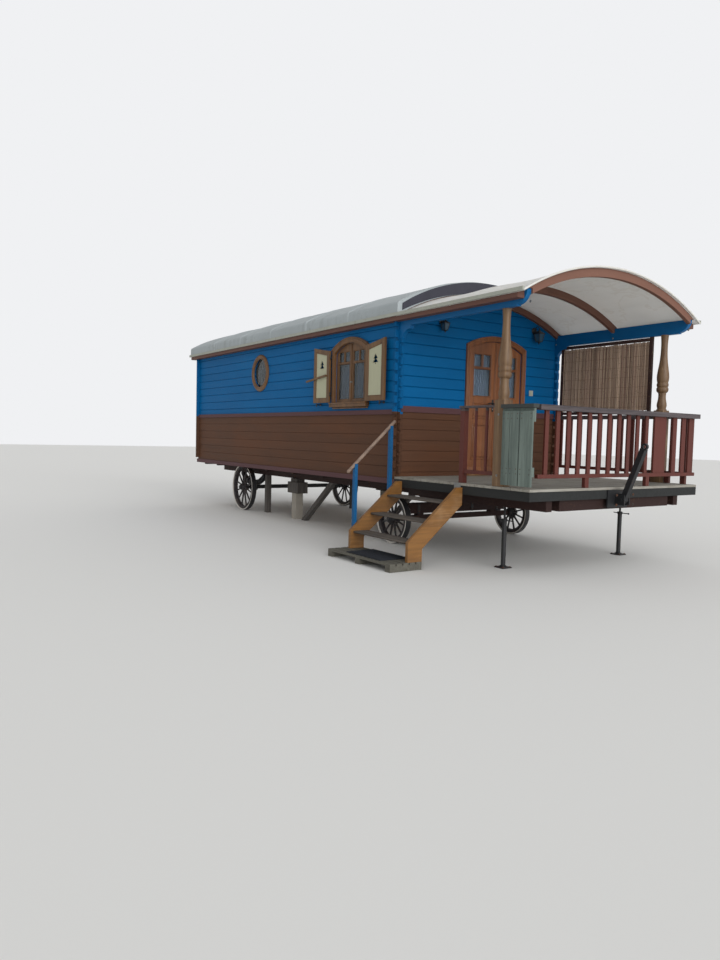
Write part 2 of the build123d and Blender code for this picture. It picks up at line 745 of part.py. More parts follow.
for name, hand in door_rows:
    with BuildPart() as leaf:
        with BuildSketch(door_plane.offset(-WALL_T)):
            arched_face(
                DOOR_HALF - LEAF_GAP, DOOR_FOOT, DOOR_SPRING - LEAF_GAP, DOOR_APEX - LEAF_GAP
            )
            with Locations((-hand * DOOR_HALF / 2 + hand * LEAF_GAP / 2, DOOR_APEX / 2)):
                Rectangle(DOOR_HALF, DOOR_APEX * 1.2, mode=Mode.SUBTRACT)
            for u, low, high, width in door_panes(hand):
                with Locations((u, (low + high) / 2)):
                    Rectangle(width, high - low, mode=Mode.SUBTRACT)
        extrude(amount=LEAF_T)
        for low, high in DOOR_PANEL_ROWS:
            with BuildSketch(door_plane.offset(-WALL_T + LEAF_T)):
                with Locations((hand * (LEAF_GAP / 2 + leaf_w / 2), (low + high) / 2)):
                    Rectangle(door_pane_w, high - low)
                    Rectangle(
                        door_pane_w - PANEL_MARGIN, high - low - PANEL_MARGIN, mode=Mode.SUBTRACT
                    )
            extrude(amount=-PANEL_DEEP, mode=Mode.SUBTRACT)
        for v in DOOR_HINGES:
            knuckle = at(DOOR_AXIS_X, DOOR_Y + hand * DOOR_HALF, DECK_Z + v + KNUCKLE_H / 2 + 1)
            with Locations(knuckle):
                Cylinder(KNUCKLE_R, KNUCKLE_H)
            block(
                (-WALL_T - HINGE_PLATE_T, -WALL_T),
                (
                    DOOR_Y + hand * (DOOR_HALF - LEAF_LAP),
                    DOOR_Y + hand * (DOOR_HALF - KNUCKLE_R / 2),
                ),
                (DECK_Z + v + 1, DECK_Z + v + 1 + KNUCKLE_H),
            )
            with Locations(knuckle):
                Cylinder(HINGE_PIN_R + PIN_FIT, KNUCKLE_H, mode=Mode.SUBTRACT)
    leaf.part.label = name
    export_step(leaf.part, f"parts/{name}.step")
    with BuildPart() as leaf_glass:
        with BuildSketch(door_plane.offset(-WALL_T + LEAF_T / 2)):
            for u, low, high, width in door_panes(hand):
                with Locations((u, (low + high) / 2)):
                    Rectangle(width, high - low)
        extrude(amount=GLASS_T)
    leaf_glass.part.label = f"{name}_glass"
    export_step(leaf_glass.part, f"parts/{name}_glass.step")

# Irons on the walls: door hinge knuckles with their pins, and shutter pintles beside the casings
PINTLE_DROP = 14
PINTLE_W = 16
with BuildPart() as hinge_irons:
    for name, hand in door_rows:
        for v in DOOR_HINGES:
            with Locations(at(DOOR_AXIS_X, DOOR_Y + hand * DOOR_HALF, DECK_Z + v - KNUCKLE_H / 2)):
                Cylinder(KNUCKLE_R, KNUCKLE_H)
            block(
                (-WALL_T - HINGE_PLATE_T, -WALL_T),
                (
                    DOOR_Y + hand * (DOOR_HALF + KNUCKLE_R / 2),
                    DOOR_Y + hand * (DOOR_HALF + LEAF_LAP),
                ),
                (DECK_Z + v - KNUCKLE_H, DECK_Z + v),
            )
            with Locations(at(DOOR_AXIS_X, DOOR_Y + hand * DOOR_HALF, DECK_Z + v + KNUCKLE_H / 2)):
                Cylinder(HINGE_PIN_R, KNUCKLE_H)
    for name, window, hand in shutter_rows:
        plane = window_planes[window]
        for v in HINGE_V:
            foot = plane.from_local_coords((hand * SHUTTER_AXIS_U, v - PINTLE_DROP, SHUTTER_AXIS_W))
            with BuildSketch(Plane(origin=foot, x_dir=plane.x_dir, z_dir=(0, 0, 1))):
                Circle(PIN_R)
            extrude(amount=HINGE_H + PINTLE_DROP)
            with BuildSketch(plane):
                with Locations((hand * SHUTTER_AXIS_U, v - PINTLE_DROP / 2 - FIT)):
                    Rectangle(PINTLE_W, PINTLE_DROP)
            extrude(amount=SHUTTER_AXIS_W + PIN_R)
hinge_irons.part.label = "hinge_irons"
export_step(hinge_irons.part, "parts/hinge_irons.step")

# Lever handle on the right-hand leaf
HANDLE_V = 1010
HANDLE_IN = 37
HANDLE_R = 9
HANDLE_OUT = 46
HANDLE_L = 113
ROSE_W = 34
ROSE_T = 6
ROSE_V = (-110, 60)
leaf_face = -WALL_T + LEAF_T
handle_y = DOOR_Y - HANDLE_IN
with BuildPart() as door_handle:
    block(
        (leaf_face, leaf_face + ROSE_T),
        (handle_y - ROSE_W / 2, handle_y + ROSE_W / 2),
        (DECK_Z + HANDLE_V + ROSE_V[0], DECK_Z + HANDLE_V + ROSE_V[1]),
    )
    rod(
        (leaf_face, handle_y, DECK_Z + HANDLE_V),
        (leaf_face + HANDLE_OUT + HANDLE_R * 0.7, handle_y, DECK_Z + HANDLE_V),
        HANDLE_R,
    )
    rod(
        (leaf_face + HANDLE_OUT, handle_y + HANDLE_R * 0.7, DECK_Z + HANDLE_V),
        (leaf_face + HANDLE_OUT, handle_y - HANDLE_L, DECK_Z + HANDLE_V),
        HANDLE_R,
    )
door_handle.part.label = "door_handle"
export_step(door_handle.part, "parts/door_handle.step")

# Lanterns on the front wall: a hook bracket and a glazed four-sided case
lantern_rows = (
    # y, height of the case's foot above the deck, scale of the case
    (-810, 1930, 0.8),
    (975, 1955, 1.0),
)
LAMP_OUT = 105
LAMP_FOOT_W = 66
LAMP_HEAD_W = 104
LAMP_CAP_W = 120
LAMP_TIP_W = 24
LAMP_H = 118
LAMP_CAP_H = 54
LAMP_PLATE = (56, 130, 10)
LAMP_ARM = 14
with BuildPart() as lanterns:
    for lamp_y, lamp_z, k in lantern_rows:
        foot = DECK_Z + lamp_z
        arm_z = foot + k * (LAMP_H + LAMP_CAP_H)
        plate_half = LAMP_PLATE[0] * k / 2
        block(
            (0, LAMP_PLATE[2]),
            (lamp_y - plate_half, lamp_y + plate_half),
            (arm_z - (LAMP_PLATE[1] - LAMP_ARM) * k, arm_z + LAMP_ARM * k),
        )
        block(
            (LAMP_PLATE[2], LAMP_OUT * k + LAMP_ARM / 2),
            (lamp_y - LAMP_ARM / 2, lamp_y + LAMP_ARM / 2),
            (arm_z - 1, arm_z - 1 + LAMP_ARM * k),
        )
        for low, low_w, high, high_w in (
            (0, LAMP_FOOT_W, LAMP_H, LAMP_HEAD_W),
            (LAMP_H, LAMP_CAP_W, LAMP_H + LAMP_CAP_H, LAMP_TIP_W),
        ):
            for height, width in ((low, low_w), (high, high_w)):
                with BuildSketch(level(foot + height * k)):
                    with Locations((LAMP_OUT * k, lamp_y)):
                        Rectangle(width * k, width * k)
            loft()
lanterns.part.label = "lanterns"
export_step(lanterns.part, "parts/lanterns.step")

# Porch deck: boards laid across the joists
deck_pitch = BOARD_W + BOARD_GAP
board_count = int(PORCH_L // deck_pitch)
board_w = (PORCH_L - (board_count - 1) * BOARD_GAP) / board_count
with BuildPart() as deck_boards:
    board_x = [(i + 0.5) * board_w + i * BOARD_GAP for i in range(board_count)]
    with Locations(*[at(x, 0, DECK_Z - BOARD_T / 2) for x in board_x]):
        Box(board_w, 2 * DECK_HALF, BOARD_T)
deck_boards.part.label = "deck_boards"
export_step(deck_boards.part, "parts/deck_boards.step")

# Frame under the deck boards
DECK_JOIST_Y = 500
rim_low = DECK_Z - BOARD_T - RIM_H
rim_z = (rim_low, DECK_Z - BOARD_T)
with BuildPart() as deck_frame:
    for side in SIDES:
        block((0, PORCH_L), (side * (DECK_HALF - RIM_T), side * DECK_HALF), rim_z)
    for joist_y in (-DECK_JOIST_Y, 0, DECK_JOIST_Y):
        block((0, PORCH_L), (joist_y - RIM_T / 2, joist_y + RIM_T / 2), rim_z)
    for rim_x in (0, PORCH_L - RIM_T):
        block((rim_x, rim_x + RIM_T), (-DECK_HALF, DECK_HALF), rim_z)
deck_frame.part.label = "deck_frame"
export_step(deck_frame.part, "parts/deck_frame.step")

# Turned posts: square to the rail, a ringed vase above it
post_profile = (
    # radius and height above the deck of each turning's edge
    (66, 940),
    (54, 960),
    (62, 1000),
    (54, 1060),
    (47, 1110),
    (48, 1160),
    (66, 1182),
    (73, 1198),
    (73, 1228),
    (64, 1240),
    (72, 1256),
    (72, 1286),
    (66, 1300),
    (75, 1345),
    (76, 1375),
    (70, 1440),
    (58, 1520),
    (48, 1600),
    (42, 1690),
    (41, 1800),
    (45, 1870),
    (50, PLATE_LOW),
)
with BuildPart() as porch_posts:
    for side in SIDES:
        block(
            (POST_X - POST_W / 2, POST_X + POST_W / 2),
            (side * POST_Y - POST_W / 2, side * POST_Y + POST_W / 2),
            (DECK_Z, DECK_Z + post_profile[0][1]),
        )
        with BuildSketch(along(side * POST_Y)):
            with BuildLine():
                Polyline(
                    (POST_X, DECK_Z + post_profile[0][1]),
                    *[(POST_X + r, DECK_Z + z) for r, z in post_profile],
                    (POST_X, DECK_Z + PLATE_LOW),
                    close=True,
                )
            make_face()
        revolve(axis=Axis(at(POST_X, side * POST_Y, 0), (0, 0, 1)))
porch_posts.part.label = "porch_posts"
export_step(porch_posts.part, "parts/porch_posts.step")

# Front balustrade: balusters and wide boards between a foot rail and a cap
balustrade_x = PORCH_L - CAP_W / 2 + CAP_FORWARD
cap = (CAP_Z - CAP_T, CAP_Z)
foot_rail = (DECK_Z + RAIL_FOOT - FOOT_RAIL_H, DECK_Z + RAIL_FOOT)
baluster_z = (DECK_Z + RAIL_FOOT, CAP_Z - CAP_T)
FRONT_RAIL_INSET = 85
FRONT_RAIL_PROUD = 9
CAP_PROUD = 20
FOOT_W = 64
front_y = (-(HALF_W - FRONT_RAIL_INSET), HALF_W + FRONT_RAIL_PROUD)
front_feet = (front_y[0] + 815, front_y[1] - 999)
board_rows = (
    # first centre along y, width, pieces, step
    (front_y[0] + 150, BALUSTER_W, 11, BALUSTER_STEP),
    (front_y[1] - 767, 230, 1, 0),
    (front_y[1] - 467, 82, 2, 190),
    (front_y[1] - 109, 110, 1, 0),
)
with BuildPart() as rail_front:
    block((balustrade_x - CAP_W / 2, balustrade_x + CAP_W / 2), front_y, cap)
    half_t = FOOT_RAIL_W / 2
    block(
        (balustrade_x - half_t, balustrade_x + half_t),
        (front_y[0] + CAP_PROUD, front_y[1] - CAP_PROUD),
        foot_rail,
    )
    for first_y, width, pieces, step in board_rows:
        for i in range(pieces):
            block(
                (balustrade_x - BALUSTER_T / 2, balustrade_x + BALUSTER_T / 2),
                (first_y + i * step - width / 2, first_y + i * step + width / 2),
                baluster_z,
            )
    for foot_y in front_feet:
        block(
            (balustrade_x - half_t, balustrade_x + half_t),
            (foot_y - FOOT_W / 2, foot_y + FOOT_W / 2),
            (DECK_Z, foot_rail[0]),
        )
rail_front.part.label = "rail_front"
export_step(rail_front.part, "parts/rail_front.step")

# Far balustrade, in two lengths with the post between them
FAR_RAIL_INSET = 30
SIDE_CAP_W = 60
FAR_FEET = (45, 60)
far_rail_y = HALF_W - FAR_RAIL_INSET
far_lengths = (
    # rear end, front end, first baluster's distance from the rear end
    (LOG_END, POST_X - POST_W / 2, 110),
    (POST_X + POST_W / 2, balustrade_x - CAP_W / 2, 90),
)
with BuildPart() as rail_left:
    for rear_x, front_x, first in far_lengths:
        first_x = rear_x + first
        block((rear_x, front_x), (far_rail_y - SIDE_CAP_W / 2, far_rail_y + SIDE_CAP_W / 2), cap)
        block((rear_x, front_x), (far_rail_y - half_t, far_rail_y + half_t), foot_rail)
        for i in range(int((front_x - BALUSTER_W - first_x) // BALUSTER_STEP) + 1):
            low_x = first_x + i * BALUSTER_STEP - BALUSTER_W / 2
            block(
                (low_x, low_x + BALUSTER_W),
                (far_rail_y - BALUSTER_T / 2, far_rail_y + BALUSTER_T / 2),
                baluster_z,
            )
        for foot_x in (rear_x + FAR_FEET[0], front_x - FAR_FEET[1]):
            block(
                (foot_x - FOOT_W / 2, foot_x + FOOT_W / 2),
                (far_rail_y - half_t, far_rail_y + half_t),
                (DECK_Z, foot_rail[0]),
            )
rail_left.part.label = "rail_left"
export_step(rail_left.part, "parts/rail_left.step")

# Near balustrade behind the post: a newel, a thin cap and two slender balusters
NEAR_RAIL_INSET = 50
near_y = -(HALF_W - NEAR_RAIL_INSET)
NEWEL_X = 1214
NEWEL_W = 66
NEAR_CAP_W = 90
NEAR_CAP_LAP = 12
NEAR_BALUSTERS = (1408, 1579)
NEAR_BALUSTER_W = 26
newel_front = NEWEL_X + NEWEL_W / 2
post_rear = POST_X - POST_W / 2
with BuildPart() as rail_right:
    block(
        (NEWEL_X - NEWEL_W / 2, newel_front),
        (near_y - NEWEL_W / 2, near_y + NEWEL_W / 2),
        (DECK_Z, CAP_Z - NEAR_CAP_T),
    )
    block(
        (NEWEL_X - NEWEL_W / 2 - NEAR_CAP_LAP, post_rear),
        (near_y - NEAR_CAP_W / 2, near_y + NEAR_CAP_W / 2),
        (CAP_Z - NEAR_CAP_T, CAP_Z),
    )
    block((newel_front, post_rear), (near_y - half_t, near_y + half_t), foot_rail)
    for x in NEAR_BALUSTERS:
        block(
            (x - NEAR_BALUSTER_W / 2, x + NEAR_BALUSTER_W / 2),
            (near_y - BALUSTER_T / 2, near_y + BALUSTER_T / 2),
            (DECK_Z + RAIL_FOOT, CAP_Z - NEAR_CAP_T),
        )
rail_right.part.label = "rail_right"
export_step(rail_right.part, "parts/rail_right.step")

# Near balustrade in front of the post: weathered boards hung outside the deck on two battens
GREY_BOARD_T = 22
GREY_TOP = 813
GREY_FOOT = 26
GREY_CAP_T = 40
BATTEN_T = 30
LOW_BATTEN = 130
LOW_BATTEN_H = 99
HIGH_BATTEN = 700
GREY_CAP_LAP = (14, 20)
grey_rows = (
    # rear edge, front edge
    (1906, 2008),
    (2018, 2142),
    (2157, 2328),
)
post_front = POST_X + POST_W / 2
batten_y = (-DECK_HALF, -DECK_HALF + BATTEN_T)
with BuildPart() as grey_boards:
    for rear_x, front_x in grey_rows:
        block(
            (rear_x, front_x),
            (-DECK_HALF - GREY_BOARD_T, -DECK_HALF),
            (DECK_Z + GREY_FOOT, DECK_Z + GREY_TOP),
        )
    for low, high in ((LOW_BATTEN, LOW_BATTEN + LOW_BATTEN_H), (HIGH_BATTEN, RAIL_TOP - GREY_CAP_T)):
        block((post_front, grey_rows[-1][1]), batten_y, (DECK_Z + low, DECK_Z + high))
    block(
        (post_front, grey_rows[-1][1] + GREY_CAP_LAP[1]),
        (-DECK_HALF - GREY_BOARD_T - GREY_CAP_LAP[0], batten_y[1] + GREY_CAP_LAP[1]),
        (CAP_Z - GREY_CAP_T, CAP_Z),
    )
grey_boards.part.label = "grey_boards"
export_step(grey_boards.part, "parts/grey_boards.step")

# Reed screen in its frame, between the far balustrade and the plate
SCREEN_X = (134, 1645)
SCREEN_DROP = 12
SCREEN_LIFT = 12
SCREEN_INSET = 40
SCREEN_Z = (CAP_Z + SCREEN_LIFT, PLATE_Z - SCREEN_DROP)
SCREEN_FRAME = 42
SCREEN_T = 36
REED_T = 14
screen_y = HALF_W - SCREEN_INSET
with BuildPart() as screen_frame:
    for low_x in (SCREEN_X[0], SCREEN_X[1] - SCREEN_FRAME):
        block(
            (low_x, low_x + SCREEN_FRAME),
            (screen_y - SCREEN_T / 2, screen_y + SCREEN_T / 2),
            (CAP_Z, PLATE_Z),
        )
    for low_z in (SCREEN_Z[0], SCREEN_Z[1] - SCREEN_FRAME):
        block(SCREEN_X, (screen_y - SCREEN_T / 2, screen_y + SCREEN_T / 2), (low_z, low_z + SCREEN_FRAME))
    add(porch_plates.part, mode=Mode.SUBTRACT)
screen_frame.part.label = "screen_frame"
export_step(screen_frame.part, "parts/screen_frame.step")

with BuildPart() as reed_mat:
    block(
        (SCREEN_X[0] + SCREEN_FRAME, SCREEN_X[1] - SCREEN_FRAME),
        (screen_y - REED_T / 2, screen_y + REED_T / 2),
        (SCREEN_Z[0] + SCREEN_FRAME, SCREEN_Z[1] - SCREEN_FRAME),
    )
    add(porch_plates.part, mode=Mode.SUBTRACT)
reed_mat.part.label = "reed_mat"
export_step(reed_mat.part, "parts/reed_mat.step")

# Chassis: two long rails, with the two porch bearers outside them
RAIL_TAIL = 160
BEARER_BACK = 100
with BuildPart() as chassis:
    for side in SIDES:
        block(
            (-BODY_L + RAIL_TAIL, PORCH_L - RIM_T),
            (side * (RAIL_Y - RAIL_W / 2), side * (RAIL_Y + RAIL_W / 2)),
            (RAIL_LOW_Z, RAIL_TOP_Z),
        )
        block(
            (-BEARER_BACK, PORCH_L - RIM_T),
            (side * (BEARER_Y - BEARER_W / 2), side * (BEARER_Y + BEARER_W / 2)),
            (RAIL_LOW_Z, rim_low),
        )
chassis.part.label = "chassis"
export_step(chassis.part, "parts/chassis.step")

# Timbers across the chassis: joists on the rails, clear of the rear wheels, and beams between them
JOIST_W = 90
JOIST_BACK = 80
JOIST_GAP = 8
WHEEL_ROOM = 100
TURN_BEAM = 290
joist_rows = (
    # rear end of a run, front end of it, joists
    (-BODY_L + RAIL_TAIL + JOIST_BACK, REAR_AXLE_X - REAR_R - WHEEL_ROOM - JOIST_W, 2),
    (REAR_AXLE_X + REAR_R + WHEEL_ROOM, -WALL_T - JOIST_W - JOIST_GAP, 6),
)
REAR_BEAM_BACK = 1065
MID_BEAM_AHEAD = 1695
beam_middles = (
    REAR_AXLE_X - REAR_BEAM_BACK,
    REAR_AXLE_X + MID_BEAM_AHEAD,
    FRONT_AXLE_X - TURN_BEAM,
    FRONT_AXLE_X + TURN_BEAM,
    PORCH_L - RIM_T - JOIST_W / 2,
)
with BuildPart() as cross_timbers:
    for rear_x, front_x, joists in joist_rows:
        for i in range(joists):
            low_x = rear_x + i * (front_x - rear_x) / (joists - 1)
            block(
                (low_x, low_x + JOIST_W),
                (-(HALF_W - WALL_T), HALF_W - WALL_T),
                (RAIL_TOP_Z, DECK_Z - FLOOR_T),
            )
    between = RAIL_Y - RAIL_W / 2
    for x in beam_middles:
        block((x - JOIST_W / 2, x + JOIST_W / 2), (-between, between), (RAIL_LOW_Z, RAIL_TOP_Z))
cross_timbers.part.label = "cross_timbers"
export_step(cross_timbers.part, "parts/cross_timbers.step")

# Turntable: upper ring fixed under the beams, with a bar across it that holds the king pin
RING_R = 380
RING_W = 60
RING_T = 40
RING_GAP = 6
LOWER_RING_T = 36
upper_z = (RAIL_LOW_Z - RING_T, RAIL_LOW_Z)
lower_z = (upper_z[0] - RING_GAP - LOWER_RING_T, upper_z[0] - RING_GAP)
KING_R = 25
KING_FOOT = 480
RING_BAR_W = 120
with BuildPart() as turntable_upper:
    with BuildSketch(level(upper_z[0])):
        with Locations((FRONT_AXLE_X, 0)):
            Circle(RING_R)
            Circle(RING_R - RING_W, mode=Mode.SUBTRACT)
            Rectangle(2 * RING_R - RING_W, RING_BAR_W)
    extrude(amount=RING_T)
    rod((FRONT_AXLE_X, 0, KING_FOOT), (FRONT_AXLE_X, 0, RAIL_LOW_Z), KING_R)
turntable_upper.part.label = "turntable_upper"
export_step(turntable_upper.part, "parts/turntable_upper.step")

# Forecarriage: lower ring, hounds, bolster and front axle
BOLSTER = (400, 540)
BOLSTER_HALF = 900
BOLSTER_T = 130
HOUND_HALF = 480
HOUND_Y = (230, 310)
PAD_Y = (650, 760)
PAD_T = 80
AXLE_BEAM = 70
AXLE_SHOULDER = 130
AXLE_PROUD = 90
BORE_FIT = 0.08
axle_half = AXLE_BEAM / 2
with BuildPart() as forecarriage:
    with BuildSketch(level(lower_z[0])):
        with Locations((FRONT_AXLE_X, 0)):
            Circle(RING_R)
            Circle(RING_R - RING_W, mode=Mode.SUBTRACT)
    extrude(amount=lower_z[1] - lower_z[0])
    for side in SIDES:
        block(
            (FRONT_AXLE_X - HOUND_HALF, FRONT_AXLE_X + HOUND_HALF),
            (side * HOUND_Y[0], side * HOUND_Y[1]),
            (BOLSTER[1], lower_z[0]),
        )
        block(
            (FRONT_AXLE_X - PAD_T / 2, FRONT_AXLE_X + PAD_T / 2),
            (side * PAD_Y[0], side * PAD_Y[1]),
            (FRONT_R + axle_half, BOLSTER[0]),
        )
    block(
        (FRONT_AXLE_X - BOLSTER_T / 2, FRONT_AXLE_X + BOLSTER_T / 2),
        (-BOLSTER_HALF, BOLSTER_HALF),
        BOLSTER,
    )
    block(
        (FRONT_AXLE_X - axle_half, FRONT_AXLE_X + axle_half),
        (-(WHEEL_Y - AXLE_SHOULDER), WHEEL_Y - AXLE_SHOULDER),
        (FRONT_R - axle_half, FRONT_R + axle_half),
    )
    rod(
        (FRONT_AXLE_X, -WHEEL_Y - AXLE_PROUD, FRONT_R),
        (FRONT_AXLE_X, WHEEL_Y + AXLE_PROUD, FRONT_R),
        AXLE_D / 2,
    )
    rod(
        (FRONT_AXLE_X, 0, BOLSTER[0]),
        (FRONT_AXLE_X, 0, lower_z[1]),
        KING_R + BORE_FIT,
        Mode.SUBTRACT,
    )
forecarriage.part.label = "forecarriage"
export_step(forecarriage.part, "parts/forecarriage.step")

# Rear axle with its springs, under the rails
SPRING_SEAT = 10
SPRING_HALF = 480
SPRING_EYE = 40
SPRING_EYE_H = 60
SPRING_PACK = 80
SPRING_W = 70
spring_seat_z = REAR_R + axle_half
with BuildPart() as rear_axle:
    block(
        (REAR_AXLE_X - axle_half, REAR_AXLE_X + axle_half),
        (-(WHEEL_Y - AXLE_SHOULDER), WHEEL_Y - AXLE_SHOULDER),
        (REAR_R - axle_half, REAR_R + axle_half),
    )
    rod(
        (REAR_AXLE_X, -WHEEL_Y - AXLE_PROUD, REAR_R),
        (REAR_AXLE_X, WHEEL_Y + AXLE_PROUD, REAR_R),
        AXLE_D / 2,
    )
    for side in SIDES:
        with BuildSketch(along(side * RAIL_Y + SPRING_W / 2)):
            rear_end, front_end = REAR_AXLE_X - SPRING_HALF, REAR_AXLE_X + SPRING_HALF
            eye_z = RAIL_LOW_Z - SPRING_EYE_H
            with BuildLine():
                ThreePointArc(
                    (rear_end, eye_z), (REAR_AXLE_X, spring_seat_z - SPRING_SEAT), (front_end, eye_z)
                )
                Polyline(
                    (front_end, eye_z), (front_end, RAIL_LOW_Z), (front_end - SPRING_EYE, RAIL_LOW_Z)
                )
                ThreePointArc(
                    (front_end - SPRING_EYE, RAIL_LOW_Z),
                    (REAR_AXLE_X, spring_seat_z + SPRING_PACK),
                    (rear_end + SPRING_EYE, RAIL_LOW_Z),
                )
                Polyline(
                    (rear_end + SPRING_EYE, RAIL_LOW_Z), (rear_end, RAIL_LOW_Z), (rear_end, eye_z)
                )
            make_face()
        extrude(amount=SPRING_W)
rear_axle.part.label = "rear_axle"
export_step(rear_axle.part, "parts/rear_axle.step")

# Wheels: hub, spokes, felloe and iron tyre
HUB_R = 72
HUB_L = 170
FELLOE = 58
TYRE_T = 14
SPOKE_R = 17
SPOKE_TURN = 15
FELLOE_IN = 10
wheel_rows = (
    # node, axle x, side, radius
    ("wheel_front_right", FRONT_AXLE_X, -1, FRONT_R),
    ("wheel_front_left", FRONT_AXLE_X, 1, FRONT_R),
    ("wheel_rear_right", REAR_AXLE_X, -1, REAR_R),
    ("wheel_rear_left", REAR_AXLE_X, 1, REAR_R),
)
for name, axle_x, side, radius in wheel_rows:
    wheel_plane = Plane(origin=at(axle_x, side * WHEEL_Y, radius), x_dir=(1, 0, 0), z_dir=(0, -1, 0))
    with BuildPart() as wheel:
        with BuildSketch(wheel_plane.offset(-WHEEL_W / 2)):
            Circle(radius)
            Circle(radius - TYRE_T, mode=Mode.SUBTRACT)
        extrude(amount=WHEEL_W)
        with BuildSketch(wheel_plane.offset(-WHEEL_W / 2 + FELLOE_IN)):
            Circle(radius - TYRE_T)
            Circle(radius - TYRE_T - FELLOE, mode=Mode.SUBTRACT)
        extrude(amount=WHEEL_W - 2 * FELLOE_IN)
        with BuildSketch(wheel_plane.offset(-HUB_L / 2)):
            Circle(HUB_R)
        extrude(amount=HUB_L)
        for i in range(SPOKES):
            turn = radians(360 / SPOKES * i + SPOKE_TURN)
            direction = (cos(turn), 0, sin(turn))
            start = (axle_x, side * WHEEL_Y, radius)
            reach = radius - TYRE_T - FELLOE / 2
            end = (axle_x + direction[0] * reach, side * WHEEL_Y, radius + direction[2] * reach)
            rod(start, end, SPOKE_R)
        with BuildSketch(wheel_plane.offset(-HUB_L / 2)):
            Circle(AXLE_D / 2 + BORE_FIT)
        extrude(amount=HUB_L, mode=Mode.SUBTRACT)
    wheel.part.label = name
    export_step(wheel.part, f"parts/{name}.step")

# Jacks under the porch: a thin screw over a stout tube on a foot plate
JACK_X = 1620
jack_rows = (-BEARER_Y, RAIL_Y)
JACK_TUBE_TOP = 545
JACK_TUBE_R = 27
JACK_SCREW_R = 12
JACK_FOOT_W = 140
JACK_FOOT_T = 12
with BuildPart() as jacks:
    for jack_y in jack_rows:
        rod((JACK_X, jack_y, JACK_TUBE_TOP), (JACK_X, jack_y, RAIL_LOW_Z), JACK_SCREW_R)
        rod((JACK_X, jack_y, JACK_FOOT_T), (JACK_X, jack_y, JACK_TUBE_TOP), JACK_TUBE_R)
        block(
            (JACK_X - JACK_FOOT_W / 2, JACK_X + JACK_FOOT_W / 2),
            (jack_y - JACK_FOOT_W / 2, jack_y + JACK_FOOT_W / 2),
            (0, JACK_FOOT_T),
        )
jacks.part.label = "jacks"
export_step(jacks.part, "parts/jacks.step")

# Piers under the rails amidships: a pale block with brown packing timbers on it
PIER_X = -3520
PIER_HALF = 70
PIER_TOP = 450
with BuildPart() as pier_blocks:
    for side in SIDES:
        block(
            (PIER_X - PIER_HALF, PIER_X + PIER_HALF),
            (side * (RAIL_Y - PIER_HALF), side * (RAIL_Y + PIER_HALF)),
            (0, PIER_TOP),
        )
pier_blocks.part.label = "pier_blocks"
export_step(pier_blocks.part, "parts/pier_blocks.step")

# Timbers that prop the rails: packing on each pier, a sloping prop and an upright post
PROP_TOP_X = -2370
PROP_FOOT_X = -3250
PROP_HALF = 60
UPRIGHT_AHEAD = 600
UPRIGHT_HALF = 45
PACK_HALF = (100, 80)
BEAM_HALF = (175, 100)
PACK_T = 60
PROP_T = 80
upright_x = REAR_AXLE_X + UPRIGHT_AHEAD
with BuildPart() as prop_timbers:
    for side in SIDES:
        block(
            (PIER_X - BEAM_HALF[0], PIER_X + BEAM_HALF[0]),
            (side * (RAIL_Y - BEAM_HALF[1]), side * (RAIL_Y + BEAM_HALF[1])),
            (PIER_TOP, RAIL_LOW_Z - PACK_T),
        )
        block(
            (PIER_X - PACK_HALF[0], PIER_X + PACK_HALF[0]),
            (side * (RAIL_Y - PACK_HALF[1]), side * (RAIL_Y + PACK_HALF[1])),
            (RAIL_LOW_Z - PACK_T, RAIL_LOW_Z),
        )
        with BuildSketch(along(side * RAIL_Y + PROP_T / 2)):
            with BuildLine():
                Polyline(
                    (PROP_TOP_X - PROP_HALF, RAIL_LOW_Z),
                    (PROP_TOP_X + PROP_HALF, RAIL_LOW_Z),
                    (PROP_FOOT_X + PROP_HALF, 0),
                    (PROP_FOOT_X - PROP_HALF, 0),
                    close=True,
                )
            make_face()
        extrude(amount=PROP_T)
        block(
            (upright_x - UPRIGHT_HALF, upright_x + UPRIGHT_HALF),
            (side * (RAIL_Y - UPRIGHT_HALF), side * (RAIL_Y + UPRIGHT_HALF)),
            (0, RAIL_LOW_Z),
        )
prop_timbers.part.label = "prop_timbers"
export_step(prop_timbers.part, "parts/prop_timbers.step")

# Steps: two cranked stringers on a pallet, with three treads
STRINGER_DROP = 50
STRINGER_HEAD = 75
STRINGER_DEPTH = 200
STRINGER_BACK = 240
STRINGER_FOOT_L = 200
STRINGER_FOOT_H = (220, 140)
toe = PALLET_REACH - STRINGER_BACK
heel = toe - STRINGER_FOOT_L
stringer_line = (
    # reach from the centre plane, height
    (DECK_HALF, DECK_Z - STRINGER_DROP),
    (DECK_HALF + STRINGER_HEAD, DECK_Z - STRINGER_DROP),
    (toe, PALLET_H + STRINGER_FOOT_H[0]),
    (toe, PALLET_H),
    (heel, PALLET_H),
    (heel, PALLET_H + STRINGER_FOOT_H[1]),
    (DECK_HALF, DECK_Z - STRINGER_DROP - STRINGER_DEPTH),
)
with BuildPart() as step_stringers:
    for low_x in (STEP_NEAR_X - STRINGER_T / 2, STEP_FAR_X - STRINGER_T / 2):
        with BuildSketch(across(low_x)):
            with BuildLine():
                Polyline(*[(-reach, z) for reach, z in stringer_line], close=True)
            make_face()
        extrude(amount=STRINGER_T)
step_stringers.part.label = "step_stringers"
export_step(step_stringers.part, "parts/step_stringers.step")

